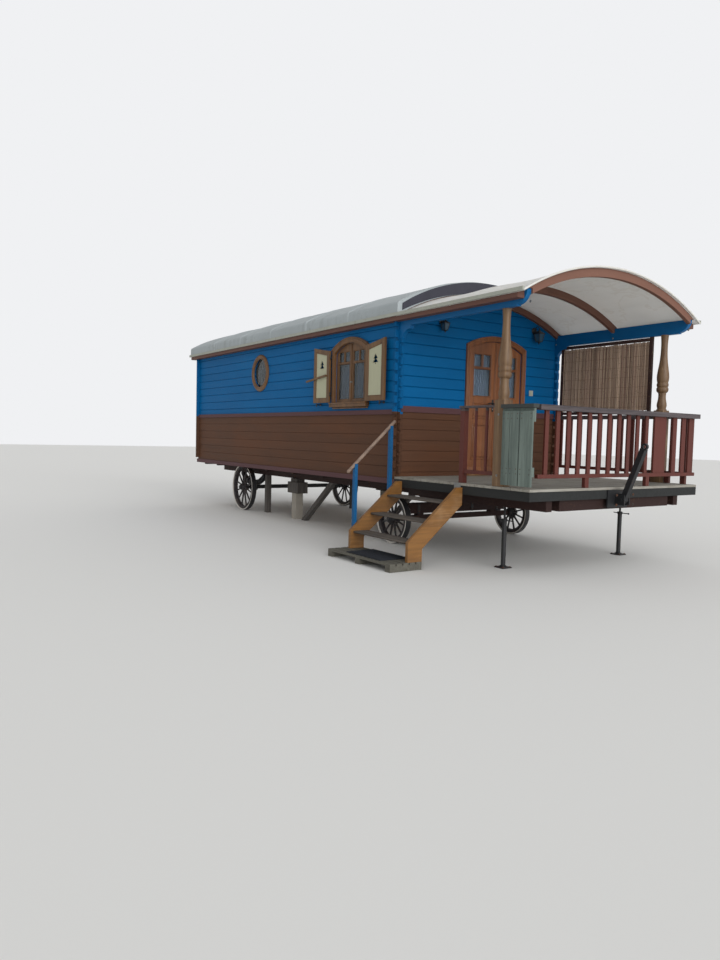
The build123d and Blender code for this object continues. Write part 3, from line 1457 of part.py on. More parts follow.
TREAD_T = 25
TREAD_D = 200
TREADS = 3
TREAD_BACK = 50
TREAD_GAP = 20
rise = (DECK_Z - PALLET_H) / (TREADS + 1)
run = (toe - TREAD_BACK - TREAD_D - DECK_HALF - TREAD_GAP) / (TREADS - 1)
with BuildPart() as step_treads:
    for i in range(TREADS):
        tread_z = PALLET_H + rise * (i + 1)
        tread_y = -(toe - TREAD_BACK - TREAD_D / 2 - run * i)
        block(
            (STEP_NEAR_X + STRINGER_T / 2, STEP_FAR_X - STRINGER_T / 2),
            (tread_y - TREAD_D / 2, tread_y + TREAD_D / 2),
            (tread_z - TREAD_T, tread_z),
        )
step_treads.part.label = "step_treads"
export_step(step_treads.part, "parts/step_treads.step")

# Pallet under the steps: three bearers from front to back with five slats across them
PALLET_BEARER_W = 90
SLAT_T = 24
SLAT_GAP = 14
SLATS = 5
PALLET_LAP = (100, 23)
pallet_x = (STEP_NEAR_X - PALLET_LAP[0], STEP_FAR_X + PALLET_LAP[1])
slat_w = (PALLET_D - (SLATS - 1) * SLAT_GAP) / SLATS
with BuildPart() as pallet:
    for i in range(3):
        low_x = pallet_x[0] + i * (pallet_x[1] - pallet_x[0] - PALLET_BEARER_W) / 2
        block(
            (low_x, low_x + PALLET_BEARER_W),
            (-PALLET_REACH, -PALLET_REACH + PALLET_D),
            (0, PALLET_H - SLAT_T),
        )
    for i in range(SLATS):
        low_y = -PALLET_REACH + i * (slat_w + SLAT_GAP)
        block(pallet_x, (low_y, low_y + slat_w), (PALLET_H - SLAT_T, PALLET_H))
pallet.part.label = "pallet"
export_step(pallet.part, "parts/pallet.step")

# Handrail on the rear stringer: two blue posts under a sloping round pole
HANDRAIL_R = 21
HANDRAIL_POST = 45
LOW_POST_IN = 333
HIGH_POST_OUT = 150
LOW_POST_FOOT = 220
HIGH_POST_FOOT = 190
POLE_LOW = (211, 59)
POLE_HIGH = (76, 717)
rail_x = STEP_NEAR_X - STRINGER_T / 2
pole_x = rail_x - HANDRAIL_POST / 2
pole_low = (pole_x, -(PALLET_REACH - POLE_LOW[0]), DECK_Z + POLE_LOW[1])
pole_high = (pole_x, -(DECK_HALF + POLE_HIGH[0]), DECK_Z + POLE_HIGH[1])
pole_slope = (pole_high[2] - pole_low[2]) / (pole_high[1] - pole_low[1])
handrail_rows = (
    # y, foot
    (-(PALLET_REACH - LOW_POST_IN), PALLET_H + LOW_POST_FOOT),
    (-(DECK_HALF + HIGH_POST_OUT), DECK_Z - HIGH_POST_FOOT),
)
with BuildPart() as handrail_posts:
    for post_y, foot in handrail_rows:
        block(
            (rail_x - HANDRAIL_POST, rail_x),
            (post_y - HANDRAIL_POST / 2, post_y + HANDRAIL_POST / 2),
            (foot, pole_low[2] + (post_y - pole_low[1]) * pole_slope),
        )
    rod(pole_low, pole_high, HANDRAIL_R, Mode.SUBTRACT)
handrail_posts.part.label = "handrail_posts"
export_step(handrail_posts.part, "parts/handrail_posts.step")

with BuildPart() as handrail:
    rod(pole_low, pole_high, HANDRAIL_R)
handrail.part.label = "handrail"
export_step(handrail.part, "parts/handrail.step")

# Draw-bar bracket: two cheeks and a pin on the front cross member
CHEEK_T = 14
CHEEK_H = 120
CHEEK_NOSE = 45
BACK_PLATE_T = 16
BACK_PLATE_W = 360
BACK_PLATE_UP = 20
BAR_PIN_R = 14
BAR_PIN_PROUD = 30
with BuildPart() as bar_bracket:
    block(
        (PORCH_L, PORCH_L + BACK_PLATE_T),
        (BAR_Y - BACK_PLATE_W / 2, BAR_Y + BACK_PLATE_W / 2),
        (RAIL_LOW_Z + BACK_PLATE_UP, DECK_Z - BOARD_T),
    )
    for side in SIDES:
        cheek_y = BAR_Y + side * (BAR_W / 2 + PLAY)
        block(
            (PORCH_L + BACK_PLATE_T, BAR_X + CHEEK_NOSE),
            (cheek_y, cheek_y + side * CHEEK_T),
            (BAR_Z - CHEEK_H / 2, BAR_Z + CHEEK_H / 2),
        )
    rod(
        (BAR_X, BAR_Y - BAR_W / 2 - BAR_PIN_PROUD, BAR_Z),
        (BAR_X, BAR_Y + BAR_W / 2 + BAR_PIN_PROUD, BAR_Z),
        BAR_PIN_R,
    )
bar_bracket.part.label = "bar_bracket"
export_step(bar_bracket.part, "parts/bar_bracket.step")

# Draw bar, folded up: a dark pole with an eye at its top
bar_dir = (sin(radians(BAR_LEAN)), 0, cos(radians(BAR_LEAN)))
bar_plane = Plane(
    origin=at(BAR_X, BAR_Y + BAR_W / 2, BAR_Z),
    x_dir=bar_dir,
    z_dir=(0, -1, 0),
)
EYE_R = 38
EYE_HOLE = 20
EYE_LAP = 8
EYE_T = 30
BAR_HEEL_R = 40
bar_run = BAR_L - EYE_R - EYE_HOLE - EYE_LAP
with BuildPart() as draw_bar:
    with BuildSketch(bar_plane):
        Circle(BAR_HEEL_R)
        with Locations((bar_run / 2, 0)):
            Rectangle(bar_run, BAR_W)
    extrude(amount=BAR_W)
    with BuildSketch(bar_plane.offset((BAR_W - EYE_T) / 2)):
        with Locations((BAR_L - EYE_R, 0)):
            Circle(EYE_R)
            Circle(EYE_HOLE, mode=Mode.SUBTRACT)
    extrude(amount=EYE_T)
    with BuildSketch(bar_plane):
        Circle(BAR_PIN_R + BORE_FIT)
    extrude(amount=BAR_W, mode=Mode.SUBTRACT)
draw_bar.part.label = "draw_bar"
export_step(draw_bar.part, "parts/draw_bar.step")
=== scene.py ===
"""A log-board vardo wagon: its paint and varnish, its roof skin and porch canvas, its ironwork."""

from math import atan2, cos, pi, radians, sin, sqrt
from random import Random

import bmesh
import bpy
from mathutils import Matrix, Vector, noise


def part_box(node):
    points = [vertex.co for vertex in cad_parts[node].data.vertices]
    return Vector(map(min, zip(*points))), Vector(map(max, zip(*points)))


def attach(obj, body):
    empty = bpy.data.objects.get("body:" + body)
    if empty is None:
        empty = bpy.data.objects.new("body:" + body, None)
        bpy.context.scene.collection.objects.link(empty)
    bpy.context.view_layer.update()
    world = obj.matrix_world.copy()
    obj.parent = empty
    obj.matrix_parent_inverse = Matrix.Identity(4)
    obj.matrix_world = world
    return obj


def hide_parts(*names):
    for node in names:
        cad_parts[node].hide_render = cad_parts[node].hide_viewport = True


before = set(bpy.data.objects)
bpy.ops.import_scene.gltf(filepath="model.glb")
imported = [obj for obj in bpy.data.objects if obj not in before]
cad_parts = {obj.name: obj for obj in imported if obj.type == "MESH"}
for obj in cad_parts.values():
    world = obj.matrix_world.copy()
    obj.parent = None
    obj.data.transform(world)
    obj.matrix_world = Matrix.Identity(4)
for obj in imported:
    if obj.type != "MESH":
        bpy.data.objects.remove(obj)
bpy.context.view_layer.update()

# Places that everything else is worked out from, in metres
UP = Vector((0, 0, 1))
SIDES = (-1, 1)
SIDE_NAMES = {-1: "right", 1: "left"}
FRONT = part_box("wall_right")[1].x
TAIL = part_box("wall_right")[0].x
RIGHT_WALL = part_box("wall_right")[0].y
LEFT_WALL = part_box("wall_left")[1].y
MID = (RIGHT_WALL + LEFT_WALL) / 2
HALF_W = (LEFT_WALL - RIGHT_WALL) / 2
BODY_L = FRONT - TAIL
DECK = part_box("cabin_floor")[1].z
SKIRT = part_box("wall_right")[0].z
SIDE_WAIST, END_WAIST = DECK + 0.803, DECK + 0.836
COURSE = 0.139
SIDE_JOINT = 0.124
ROOF_HALF = (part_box("roof_body")[1].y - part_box("roof_body")[0].y) / 2
ROOF_EDGE = DECK + 2.045
ROOF_CROWN = DECK + 2.480
ROOF_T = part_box("roof_body")[1].z - ROOF_CROWN
WINDOW_X, WINDOW_Z = -1.100, 0.980
ROUND_X, ROUND_Z = -3.910, 1.550
DOOR_Y = 0.228
SHUTTER_PIN, PIN_OUT, SHUTTER_GAP, SHUTTER_W = 0.448, 0.061, 0.012, 0.433
RAIL_HALF, RAIL_PLANK = 1.209, 0.174
RAIL_CAP, SAGE_CAP = 0.829, 0.842


def at(x, y, z):
    """A place given from the front wall, the centre plane and the deck, as a point of the frame."""
    return Vector((FRONT + x, MID + y, DECK + z))


# Shader nodes and shader maths

def srgb(red, green, blue):
    """A colour given as it is seen, from 0 to 255, in the linear values that a shader takes."""
    values = [c / 255 for c in (red, green, blue)]
    return tuple(c / 12.92 if c <= 0.04045 else ((c + 0.055) / 1.055) ** 2.4 for c in values) + (1,)


def feed(tree, socket, value):
    """Gives a socket its value, or links it where the value comes from another node."""
    if isinstance(value, Value):
        value = value.socket
    if isinstance(value, bpy.types.NodeSocket):
        tree.links.new(value, socket)
    else:
        socket.default_value = value


def add_node(tree, kind, settings=None, inputs=None):
    """A node with its settings made first, and then the values or links of its sockets."""
    made = tree.nodes.new(kind)
    for key, value in (settings or {}).items():
        setattr(made, key, value)
    for key, value in (inputs or {}).items():
        for each in value if isinstance(value, list) else [value]:
            feed(tree, made.inputs[key], each)
    return made


def maths(operation, reflected=False):
    """An operator of Value: it adds one Math node."""
    def act(self, *others):
        values = (*others, self) if reflected else (self, *others)
        made = self.finish.node("ShaderNodeMath", {"operation": operation}, dict(enumerate(values)))
        return Value(self.finish, made.outputs[0])
    return act


class Value:
    """A number that changes over a surface. A sum written with it adds its Math nodes."""

    __add__, __radd__ = maths("ADD"), maths("ADD", True)
    __sub__, __rsub__ = maths("SUBTRACT"), maths("SUBTRACT", True)
    __mul__, __rmul__ = maths("MULTIPLY"), maths("MULTIPLY", True)
    __truediv__, __pow__, __abs__ = maths("DIVIDE"), maths("POWER"), maths("ABSOLUTE")
    over, under = maths("GREATER_THAN"), maths("LESS_THAN")
    floor, fract = maths("FLOOR"), maths("FRACT")

    def __init__(self, finish, socket):
        self.finish = finish
        self.socket = socket

    def ramp(self, low, high):
        """0 at low, 1 at high, smooth between them."""
        inputs = {0: self, 1: low, 2: high}
        made = self.finish.node("ShaderNodeMapRange", {"interpolation_type": "SMOOTHSTEP"}, inputs)
        return Value(self.finish, made.outputs[0])


class Finish:
    """One material: its Principled shader and the nodes that feed it."""

    def __init__(self, name, **constants):
        self.material = bpy.data.materials.new(name)
        self.material.use_nodes = True
        self.tree = self.material.node_tree
        self.shader = self.tree.nodes["Principled BSDF"]
        for socket, value in constants.items():
            self.shader.inputs[socket.replace("_", " ")].default_value = value
        self.place = self.node("ShaderNodeTexCoord").outputs["Object"]

    def node(self, kind, settings=None, inputs=None):
        return add_node(self.tree, kind, settings, inputs)

    def axes(self):
        """The place's three coordinates."""
        parts = self.node("ShaderNodeSeparateXYZ", None, {0: self.place}).outputs
        return [Value(self, socket) for socket in parts]

    def noise(self, scale, detail, rough, warp=0.0, where=None):
        """Soft patches, from 0 to 1 and mostly near 0.5."""
        inputs = {"Vector": where or self.place, "Scale": scale, "Detail": detail, "Roughness": rough}
        inputs["Distortion"] = warp
        return Value(self, self.node("ShaderNodeTexNoise", None, inputs).outputs[0])

    def streaks(self, stretch, detail, rough, warp=0.0, turn=(0, 0, 0), scale=1.0):
        """Patches drawn out along the axes, and turned."""
        inputs = {"Vector": self.place, "Rotation": turn, "Scale": tuple(stretch)}
        where = self.node("ShaderNodeMapping", None, inputs).outputs[0]
        return self.noise(scale, detail, rough, warp, where)

    def chance(self, *numbers):
        """A number from 0 to 1 that is the same wherever the given numbers are."""
        joined = self.node("ShaderNodeCombineXYZ", None, dict(enumerate(numbers)))
        made = self.node("ShaderNodeTexWhiteNoise", {"noise_dimensions": "3D"}, {"Vector": joined.outputs[0]})
        return Value(self, made.outputs["Value"])

    def mix(self, factor, first, second):
        """One colour over another."""
        return self.node("ShaderNodeMix", {"data_type": "RGBA"}, {0: factor, 6: first, 7: second}).outputs[2]

    def shade(self, colour, amount):
        """A colour made lighter or darker by a number that changes over the surface."""
        start = colour[:3] if isinstance(colour, tuple) else colour
        made = self.node("ShaderNodeVectorMath", {"operation": "SCALE"}, {0: start, "Scale": amount})
        return made.outputs[0]

    def done(self, colour, rough, height=None, depth=0.0, soft_edge=0.0):
        """The material: its colour, its roughness, and relief of a depth in metres on eased edges."""
        feed(self.tree, self.shader.inputs["Base Color"], colour)
        feed(self.tree, self.shader.inputs["Roughness"], rough)
        if height:
            relief = {"Height": height, "Strength": 1.0, "Distance": depth}
            if soft_edge:
                eased = self.node("ShaderNodeBevel", {"samples": 4}, {"Radius": soft_edge})
                relief["Normal"] = eased.outputs[0]
            bump = self.node("ShaderNodeBump", None, relief)
            feed(self.tree, self.shader.inputs["Normal"], bump.outputs[0])
        return self.material


GRAINS = {"x": (1.3, 34, 34), "y": (34, 1.3, 34), "z": (34, 34, 1.3), "level": (1.3, 1.3, 34)}


def grain_of(finish, grain):
    """Wood grain along one direction: broad figure and fine fibres, each about 0.5."""
    broad = finish.streaks([s * 0.4 for s in GRAINS[grain]], 4, 0.6, 0.8)
    fibre = finish.streaks([s * 4 for s in GRAINS[grain]], 3, 0.6)
    return broad, fibre


def painted_wood(name, paint, grain, worn, gloss, bare):
    """Brushed paint on timber, a little chalky, thin where it has worn."""
    finish = Finish(name, Specular_IOR_Level=0.3)
    broad, fibre = grain_of(finish, grain)
    cloud = finish.noise(1.7, 4, 0.6)
    tone = 0.78 + broad * 0.22 + cloud * 0.24
    colour = finish.shade(paint, tone)
    flakes = finish.noise(26, 5, 0.7) + fibre * 0.45 + cloud * 0.3
    flaked = flakes.ramp(1.02 - worn * 0.3, 1.10 - worn * 0.3)
    colour = finish.mix(flaked * 0.7, colour, finish.shade(bare, 0.7 + fibre * 0.6))
    return finish.done(
        colour,
        gloss + broad * 0.14 + flaked * 0.25,
        fibre * 0.35 + broad * 0.4 - flaked * 0.5, 0.0012, 0.0035,
    )


def varnished_wood(name, light, dark, grain, gloss, faded=0.2):
    """Oiled or varnished timber with its figure showing."""
    finish = Finish(name)
    broad, fibre = grain_of(finish, grain)
    figure = (broad * 0.75 + fibre * 0.35).ramp(0.35, 0.75)
    colour = finish.mix(figure, dark, light)
    cloud = finish.noise(2.3, 3, 0.6)
    colour = finish.shade(colour, 0.8 + cloud * 0.4)
    pale = (cloud + fibre * 0.3).ramp(0.7, 0.95) * faded
    colour = finish.mix(pale, colour, srgb(190, 170, 140))
    return finish.done(
        colour,
        gloss + fibre * 0.15 + pale * 0.3,
        fibre * 0.5 + broad * 0.3, 0.001, 0.0035,
    )


def weathered_wood(name, light, dark, grain, stain=srgb(70, 66, 52)):
    """Bare timber gone grey, with checks along the grain and damp stains."""
    finish = Finish(name)
    broad, fibre = grain_of(finish, grain)
    figure = (broad * 0.6 + fibre * 0.5).ramp(0.3, 0.8)
    colour = finish.mix(figure, dark, light)
    checks = finish.streaks([s * 1.8 for s in GRAINS[grain]], 2, 0.5, 0.4).ramp(0.66, 0.72)
    colour = finish.mix(checks * 0.6, colour, srgb(38, 35, 30))
    damp = finish.noise(3.1, 5, 0.65).ramp(0.5, 0.75)
    colour = finish.mix(damp * 0.45, colour, stain)
    return finish.done(colour, 0.72 + fibre * 0.2, fibre * 0.6 + broad * 0.5 - checks, 0.0016, 0.004)


def iron(name, colour, gloss, rust):
    """Painted or bare iron with rust coming through."""
    finish = Finish(name)
    pits = finish.noise(60, 5, 0.65)
    cloud = finish.noise(6, 4, 0.6)
    rusty = (pits * 0.6 + cloud * 0.6).ramp(0.78 - rust * 0.3, 0.9 - rust * 0.25)
    base = finish.shade(colour, 0.75 + cloud * 0.5)
    return finish.done(
        finish.mix(rusty, base, finish.shade(srgb(96, 58, 36), 0.5 + pits)),
        gloss + rusty * 0.35,
        pits, 0.0006, 0.002,
    )


# Finishes of this wagon

BLUE = srgb(0, 94, 150)
BROWN = srgb(88, 61, 46)


def log_boards():
    """The walls: blue boards above the waist, brown stained ones below, each course its own tone."""
    finish = Finish("log_boards", Specular_IOR_Level=0.12)
    y, z = finish.axes()[1:]
    broad, fibre = grain_of(finish, "level")
    across = abs(y - MID).under(HALF_W - 0.045)
    rise = (z - DECK - SIDE_JOINT + COURSE + across * (COURSE / 2)) / COURSE
    course = rise.floor() + across * 40
    tone = finish.chance(course, 3.0)
    cloud = finish.streaks((0.5, 0.5, 1.3), 4, 0.6, scale=1.6)
    blue = finish.shade(BLUE, 0.80 + tone * 0.10 + cloud * 0.26 + broad * 0.12)
    faded = (cloud + broad * 0.3).ramp(0.62, 0.9)
    blue = finish.mix(faded * 0.22, blue, srgb(14, 108, 162))
    stained = finish.shade(BROWN, 0.66 + tone * 0.12 + broad * 0.5 + cloud * 0.2)
    stained = finish.mix(cloud.ramp(0.4, 0.75) * 0.4, stained, srgb(108, 66, 40))
    colour = finish.mix(z.over(across * (END_WAIST - SIDE_WAIST) + SIDE_WAIST), stained, blue)
    in_course = rise.fract()
    joint = abs(in_course - 0.5).ramp(0.455, 0.49)
    shown = z.over(SIDE_WAIST) * (1.0 - across) * 0.45 + across * 0.45 + 0.12
    colour = finish.mix(joint * shown, colour, finish.shade(colour, 0.45))
    streak = finish.streaks((30, 30, 1.1), 3, 0.5)
    foot = 1.0 - (z - SKIRT).ramp(0.0, 0.45)
    grime = (streak * 0.7 + foot * 0.25).ramp(0.62, 0.85)
    colour = finish.mix(grime * 0.16, colour, srgb(60, 56, 46))
    return finish.done(
        colour,
        0.42 + broad * 0.2 + grime * 0.15,
        broad * 0.7 + fibre * 0.3 + tone * 0.1, 0.0016, 0.004,
    )


def corner_paint():
    """End grain of the crossed boards, painted as the wall beside it."""
    finish = Finish("corner_paint", Specular_IOR_Level=0.12)
    y, z = finish.axes()[1:]
    rings = finish.noise(34, 3, 0.6)
    tone = 0.6 + rings * 0.55
    ends = abs(y - MID).over(HALF_W - 0.001)
    upper = z.over(ends * (END_WAIST - SIDE_WAIST) + SIDE_WAIST)
    colour = finish.mix(upper, finish.shade(BROWN, tone), finish.shade(BLUE, tone))
    return finish.done(colour, 0.55 + rings * 0.2, rings, 0.0012, 0.004)


def roof_membrane():
    """Pale grey sheet roofing: chalky, dusty in the hollows, streaked towards the eaves."""
    finish = Finish("roof_membrane")
    cloud = finish.noise(1.4, 5, 0.6)
    streak = finish.streaks((9, 1.2, 1.2), 4, 0.6)
    speck = finish.noise(90, 3, 0.7)
    colour = finish.shade(srgb(170, 178, 181), 0.78 + cloud * 0.24 + speck * 0.1)
    dirt = (streak * 0.6 + cloud * 0.5).ramp(0.52, 0.8)
    colour = finish.mix(dirt * 0.45, colour, srgb(122, 127, 123))
    lichen = (finish.noise(17, 5, 0.7) + cloud * 0.25).ramp(0.74, 0.82)
    colour = finish.mix(lichen * 0.4, colour, srgb(88, 92, 74))
    return finish.done(colour, 0.62 + dirt * 0.2, speck * 0.5 + cloud, 0.0025)


def painted_shade_felt():
    """The board that closes the thick roof, speckled like mineral felt; its dark grey is painted shade, as
    this end face lies in shadow.
    """
    finish = Finish("painted_shade_felt")
    speck = finish.noise(240, 2, 0.6)
    cloud = finish.noise(4, 4, 0.6)
    return finish.done(
        finish.shade(srgb(56, 56, 66), 0.5 + speck * 0.5 + cloud * 0.5),
        0.75 + speck * 0.2,
        speck, 0.001,
    )


def canvas():
    """Coated off-white cloth: a fine plain weave, soft diagonal creases in relief with painted light and
    shade along them, faint water marks.
    """
    glow = {"Subsurface_Weight": 0.55, "Subsurface_Scale": 0.02, "Subsurface_Radius": (1, 0.97, 0.92)}
    finish = Finish("canvas", **glow)
    warp = finish.streaks((1, 900, 900), 1, 0.5)
    weft = finish.streaks((900, 1, 1), 1, 0.5)
    crease = finish.streaks((1.1, 5.5, 3), 3, 0.5, 0.6, (0, 0, radians(35)))
    cloud = finish.noise(1.2, 4, 0.6)
    # The creases also lighten and darken the colour a little: painted light and shade along them.
    colour = finish.shade(srgb(216, 215, 210), 0.84 + cloud * 0.2 + crease * 0.1)
    marks = abs(cloud - 0.5).ramp(0.02, 0.0)
    colour = finish.mix(marks * 0.16, colour, srgb(168, 152, 128))
    return finish.done(colour, 0.6 + weft * 0.15, crease * 2.2 + warp * 0.25 + weft * 0.25, 0.003)


def cream_metal():
    """Cream painted drip strips, dirty where the rain runs."""
    finish = Finish("cream_drip")
    cloud = finish.noise(5, 4, 0.6)
    streak = finish.streaks((28, 28, 2), 3, 0.6)
    colour = finish.shade(srgb(168, 171, 160), 0.8 + cloud * 0.35)
    colour = finish.mix((streak * 0.8 + cloud * 0.3).ramp(0.6, 0.85) * 0.6, colour, srgb(112, 104, 80))
    return finish.done(colour, 0.45 + streak * 0.2, cloud, 0.001, 0.003)


def shutter_paint():
    """Brown varnished frames round cream painted panels."""
    finish = Finish("shutter_paint")
    x, y, z = finish.axes()
    broad, fibre = grain_of(finish, "z")
    figure = (broad * 0.8 + fibre * 0.3).ramp(0.35, 0.75)
    frame_tone = finish.mix(figure, srgb(84, 59, 34), srgb(120, 87, 50))
    cream = finish.shade(srgb(180, 180, 152), 0.84 + fibre * 0.12 + broad * 0.14)
    dusty = finish.noise(7, 4, 0.65).ramp(0.5, 0.8)
    cream = finish.mix(dusty * 0.22, cream, srgb(150, 140, 108))
    low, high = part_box("shutter_right_rear")
    sunk = abs(abs(y - MID) - (HALF_W + PIN_OUT)).under(0.0075)
    near, border = SHUTTER_PIN + SHUTTER_GAP, 0.058
    from_window = abs(x - (FRONT + WINDOW_X))
    inside = from_window.over(near + border) * from_window.under(near + SHUTTER_W - border)
    panel = sunk * inside * z.over(low.z + border) * z.under(high.z)
    return finish.done(
        finish.mix(panel, frame_tone, cream),
        0.34 + panel * 0.12 + fibre * 0.12,
        fibre * 0.4 + broad * 0.3, 0.001, 0.003,
    )


def rail_stain():
    """Dark red stain on the balusters and a grey-brown worn cap."""
    finish = Finish("rail_stain")
    y, z = finish.axes()[1:]
    broad, fibre = grain_of(finish, "z")
    across, fine = grain_of(finish, "y")
    plank = finish.chance(((y - MID + RAIL_HALF) * (1 / RAIL_PLANK)).floor(), 5.0)
    red = finish.shade(srgb(92, 39, 29), 0.62 + plank * 0.22 + broad * 0.45)
    red = finish.mix((fibre * 0.5 + broad * 0.5).ramp(0.55, 0.75) * 0.35, red, srgb(72, 34, 26))
    figure = (across * 0.6 + fine * 0.5).ramp(0.35, 0.7)
    worn = finish.mix(figure, srgb(54, 48, 51), srgb(90, 82, 84))
    cap = z.over(DECK + RAIL_CAP)
    return finish.done(
        finish.mix(cap, red, worn),
        0.5 + fibre * 0.15 + cap * 0.12,
        fibre * 0.5 + broad * 0.4, 0.0012, 0.004,
    )


def reed_finish():
    """Split reed: each stalk its own brown, darker at the joints."""
    finish = Finish("reed")
    x, z = finish.axes()[::2]
    stalk_wide, joint_step = 0.0085, 0.31
    stalk = (x * (1 / stalk_wide)).floor()
    tone = finish.chance(stalk, 1.0)
    other = finish.chance(stalk, 2.0)
    fibre = finish.streaks((260, 260, 4), 3, 0.6)
    colour = finish.mix(tone ** 0.7, srgb(112, 90, 76), srgb(208, 182, 158))
    colour = finish.mix(other.over(0.8) * 0.6, colour, srgb(140, 108, 96))
    colour = finish.shade(colour, 0.7 + fibre * 0.55)
    knot = ((z + other) * (1 / joint_step)).fract()
    colour = finish.mix(knot.under(0.03) * 0.5, colour, srgb(60, 44, 34))
    return finish.done(colour, 0.6 + fibre * 0.25, fibre, 0.001)


def pane_glass():
    """Window glass, a little hazy and not quite flat."""
    finish = Finish("pane_glass", Transmission_Weight=0.97, IOR=1.3)
    haze = finish.noise(3.2, 4, 0.6)
    return finish.done(
        finish.shade(srgb(214, 226, 230), 0.9 + haze * 0.1),
        0.02 + haze * 0.05,
        finish.noise(2.2, 1, 0.5), 0.004,
    )


def lamp_pane():
    """Dusty pressed glass, too dull to see through."""
    finish = Finish("lamp_pane")
    haze = finish.noise(40, 3, 0.6)
    return finish.done(
        finish.shade(srgb(58, 88, 108), 0.8 + haze * 0.4),
        0.22 + haze * 0.2,
        haze, 0.001,
    )


def lace(name, thread):
    """Curtain net: a fine even cloth, a little lighter and darker in patches."""
    finish = Finish(name, Sheen_Weight=0.04)
    fine = finish.streaks((260, 260, 260), 2, 0.6)
    cloud = finish.noise(5, 3, 0.5)
    return finish.done(finish.shade(thread, 0.75 + cloud * 0.3), 0.8 + fine * 0.1, fine, 0.0006)


def pier_stone():
    """Cast stone blocks with grit and damp patches."""
    finish = Finish("pier_stone")
    grit = finish.noise(70, 5, 0.7)
    cloud = finish.noise(5, 5, 0.6)
    colour = finish.shade(srgb(168, 162, 152), 0.65 + grit * 0.35 + cloud * 0.35)
    return finish.done(
        finish.mix(cloud.ramp(0.55, 0.8) * 0.4, colour, srgb(104, 104, 88)),
        0.85 + grit * 0.1,
        grit + cloud * 0.6, 0.004, 0.006,
    )


def rubber_mat():
    """A dark ribbed mat."""
    finish = Finish("rubber_mat")
    ribs_per_metre = 62
    rib = (finish.axes()[0] * ribs_per_metre).fract() - 0.5
    speck = finish.noise(120, 3, 0.6)
    return finish.done(
        finish.shade(srgb(32, 36, 44), 0.6 + speck * 0.7),
        0.8 + speck * 0.15,
        abs(rib) + speck * 0.4, 0.003,
    )


def wheel_paint():
    """Nearly black paint with pale road dust in patches."""
    finish = Finish("wheel_paint")
    broad = finish.noise(8, 4, 0.6)
    fibre = finish.noise(60, 4, 0.65)
    dark = finish.shade(srgb(46, 42, 46), 0.6 + broad * 0.8)
    dust = (broad * 0.6 + fibre * 0.5).ramp(0.52, 0.75)
    return finish.done(
        finish.mix(dust * 0.35, dark, srgb(112, 98, 82)),
        0.5 + fibre * 0.2,
        fibre + broad, 0.001, 0.004,
    )


def zinc():
    """Galvanised metal: grey, with dull flakes."""
    finish = Finish("zinc", Metallic=1.0)
    flake = finish.noise(45, 3, 0.5)
    return finish.done(finish.shade(srgb(150, 150, 148), 0.8 + flake * 0.35), 0.42 + flake * 0.15)


def sage_boards():
    """Weathered sage boards under a darker cap."""
    finish = Finish("sage_boards")
    x, z = finish.axes()[::2]
    broad, fibre = grain_of(finish, "z")
    boards_per_metre = 8.1
    board = finish.chance((x * boards_per_metre).floor(), 2.0)
    figure = (broad * 0.7 + fibre * 0.4).ramp(0.35, 0.75)
    sage = finish.mix(figure, srgb(84, 96, 91), srgb(121, 134, 127))
    sage = finish.shade(sage, 0.86 + board * 0.22)
    damp = finish.streaks((6, 6, 2), 4, 0.6).ramp(0.5, 0.75)
    sage = finish.mix(damp * 0.4, sage, srgb(76, 82, 72))
    cap = finish.shade(srgb(58, 63, 62), 0.7 + fibre * 0.6)
    return finish.done(
        finish.mix(z.over(DECK + SAGE_CAP), sage, cap),
        0.7 + fibre * 0.2,
        fibre * 0.6 + broad * 0.5, 0.0016, 0.004,
    )


BOARDS = log_boards()
CORNER = corner_paint()
PLUM_PAINT = painted_wood("plum_paint", srgb(86, 56, 59), "level", -0.2, 0.5, srgb(120, 92, 80))
BOW_PAINT = painted_wood("bow_paint", srgb(122, 86, 72), "level", -0.1, 0.5, srgb(138, 106, 90))
FASCIA_PAINT = painted_wood("fascia_paint", srgb(104, 72, 62), "x", -0.1, 0.5, srgb(128, 102, 88))
BLUE_PAINT = painted_wood("blue_paint", BLUE, "x", -0.2, 0.42, srgb(80, 110, 140))
BLUE_POST = painted_wood("blue_post_paint", srgb(4, 84, 134), "z", -0.1, 0.42, srgb(90, 120, 145))
MEMBRANE = roof_membrane()
# The roof's end board: its dark grey colour is painted shade.
PAINTED_SHADE_FELT = painted_shade_felt()
CANVAS = canvas()
DRIP = cream_metal()
JOINERY = varnished_wood("joinery_varnish", srgb(120, 84, 49), srgb(83, 58, 34), "z", 0.34, 0.08)
DOOR_VARNISH = varnished_wood("door_varnish", srgb(148, 93, 56), srgb(104, 65, 42), "z", 0.3, 0.06)
STEP_VARNISH = varnished_wood("step_varnish", srgb(146, 101, 48), srgb(116, 79, 38), "y", 0.38)
POST_VARNISH = varnished_wood("post_varnish", srgb(128, 101, 70), srgb(90, 64, 42), "z", 0.42, 0.7)
HANDRAIL_WOOD = varnished_wood("handrail_wood", srgb(150, 128, 112), srgb(110, 90, 78), "y", 0.5, 0.5)
SHUTTER = shutter_paint()
RAIL_STAIN = rail_stain()
DECK_GREY = weathered_wood("deck_grey", srgb(172, 169, 160), srgb(122, 117, 107), "y", srgb(92, 88, 74))
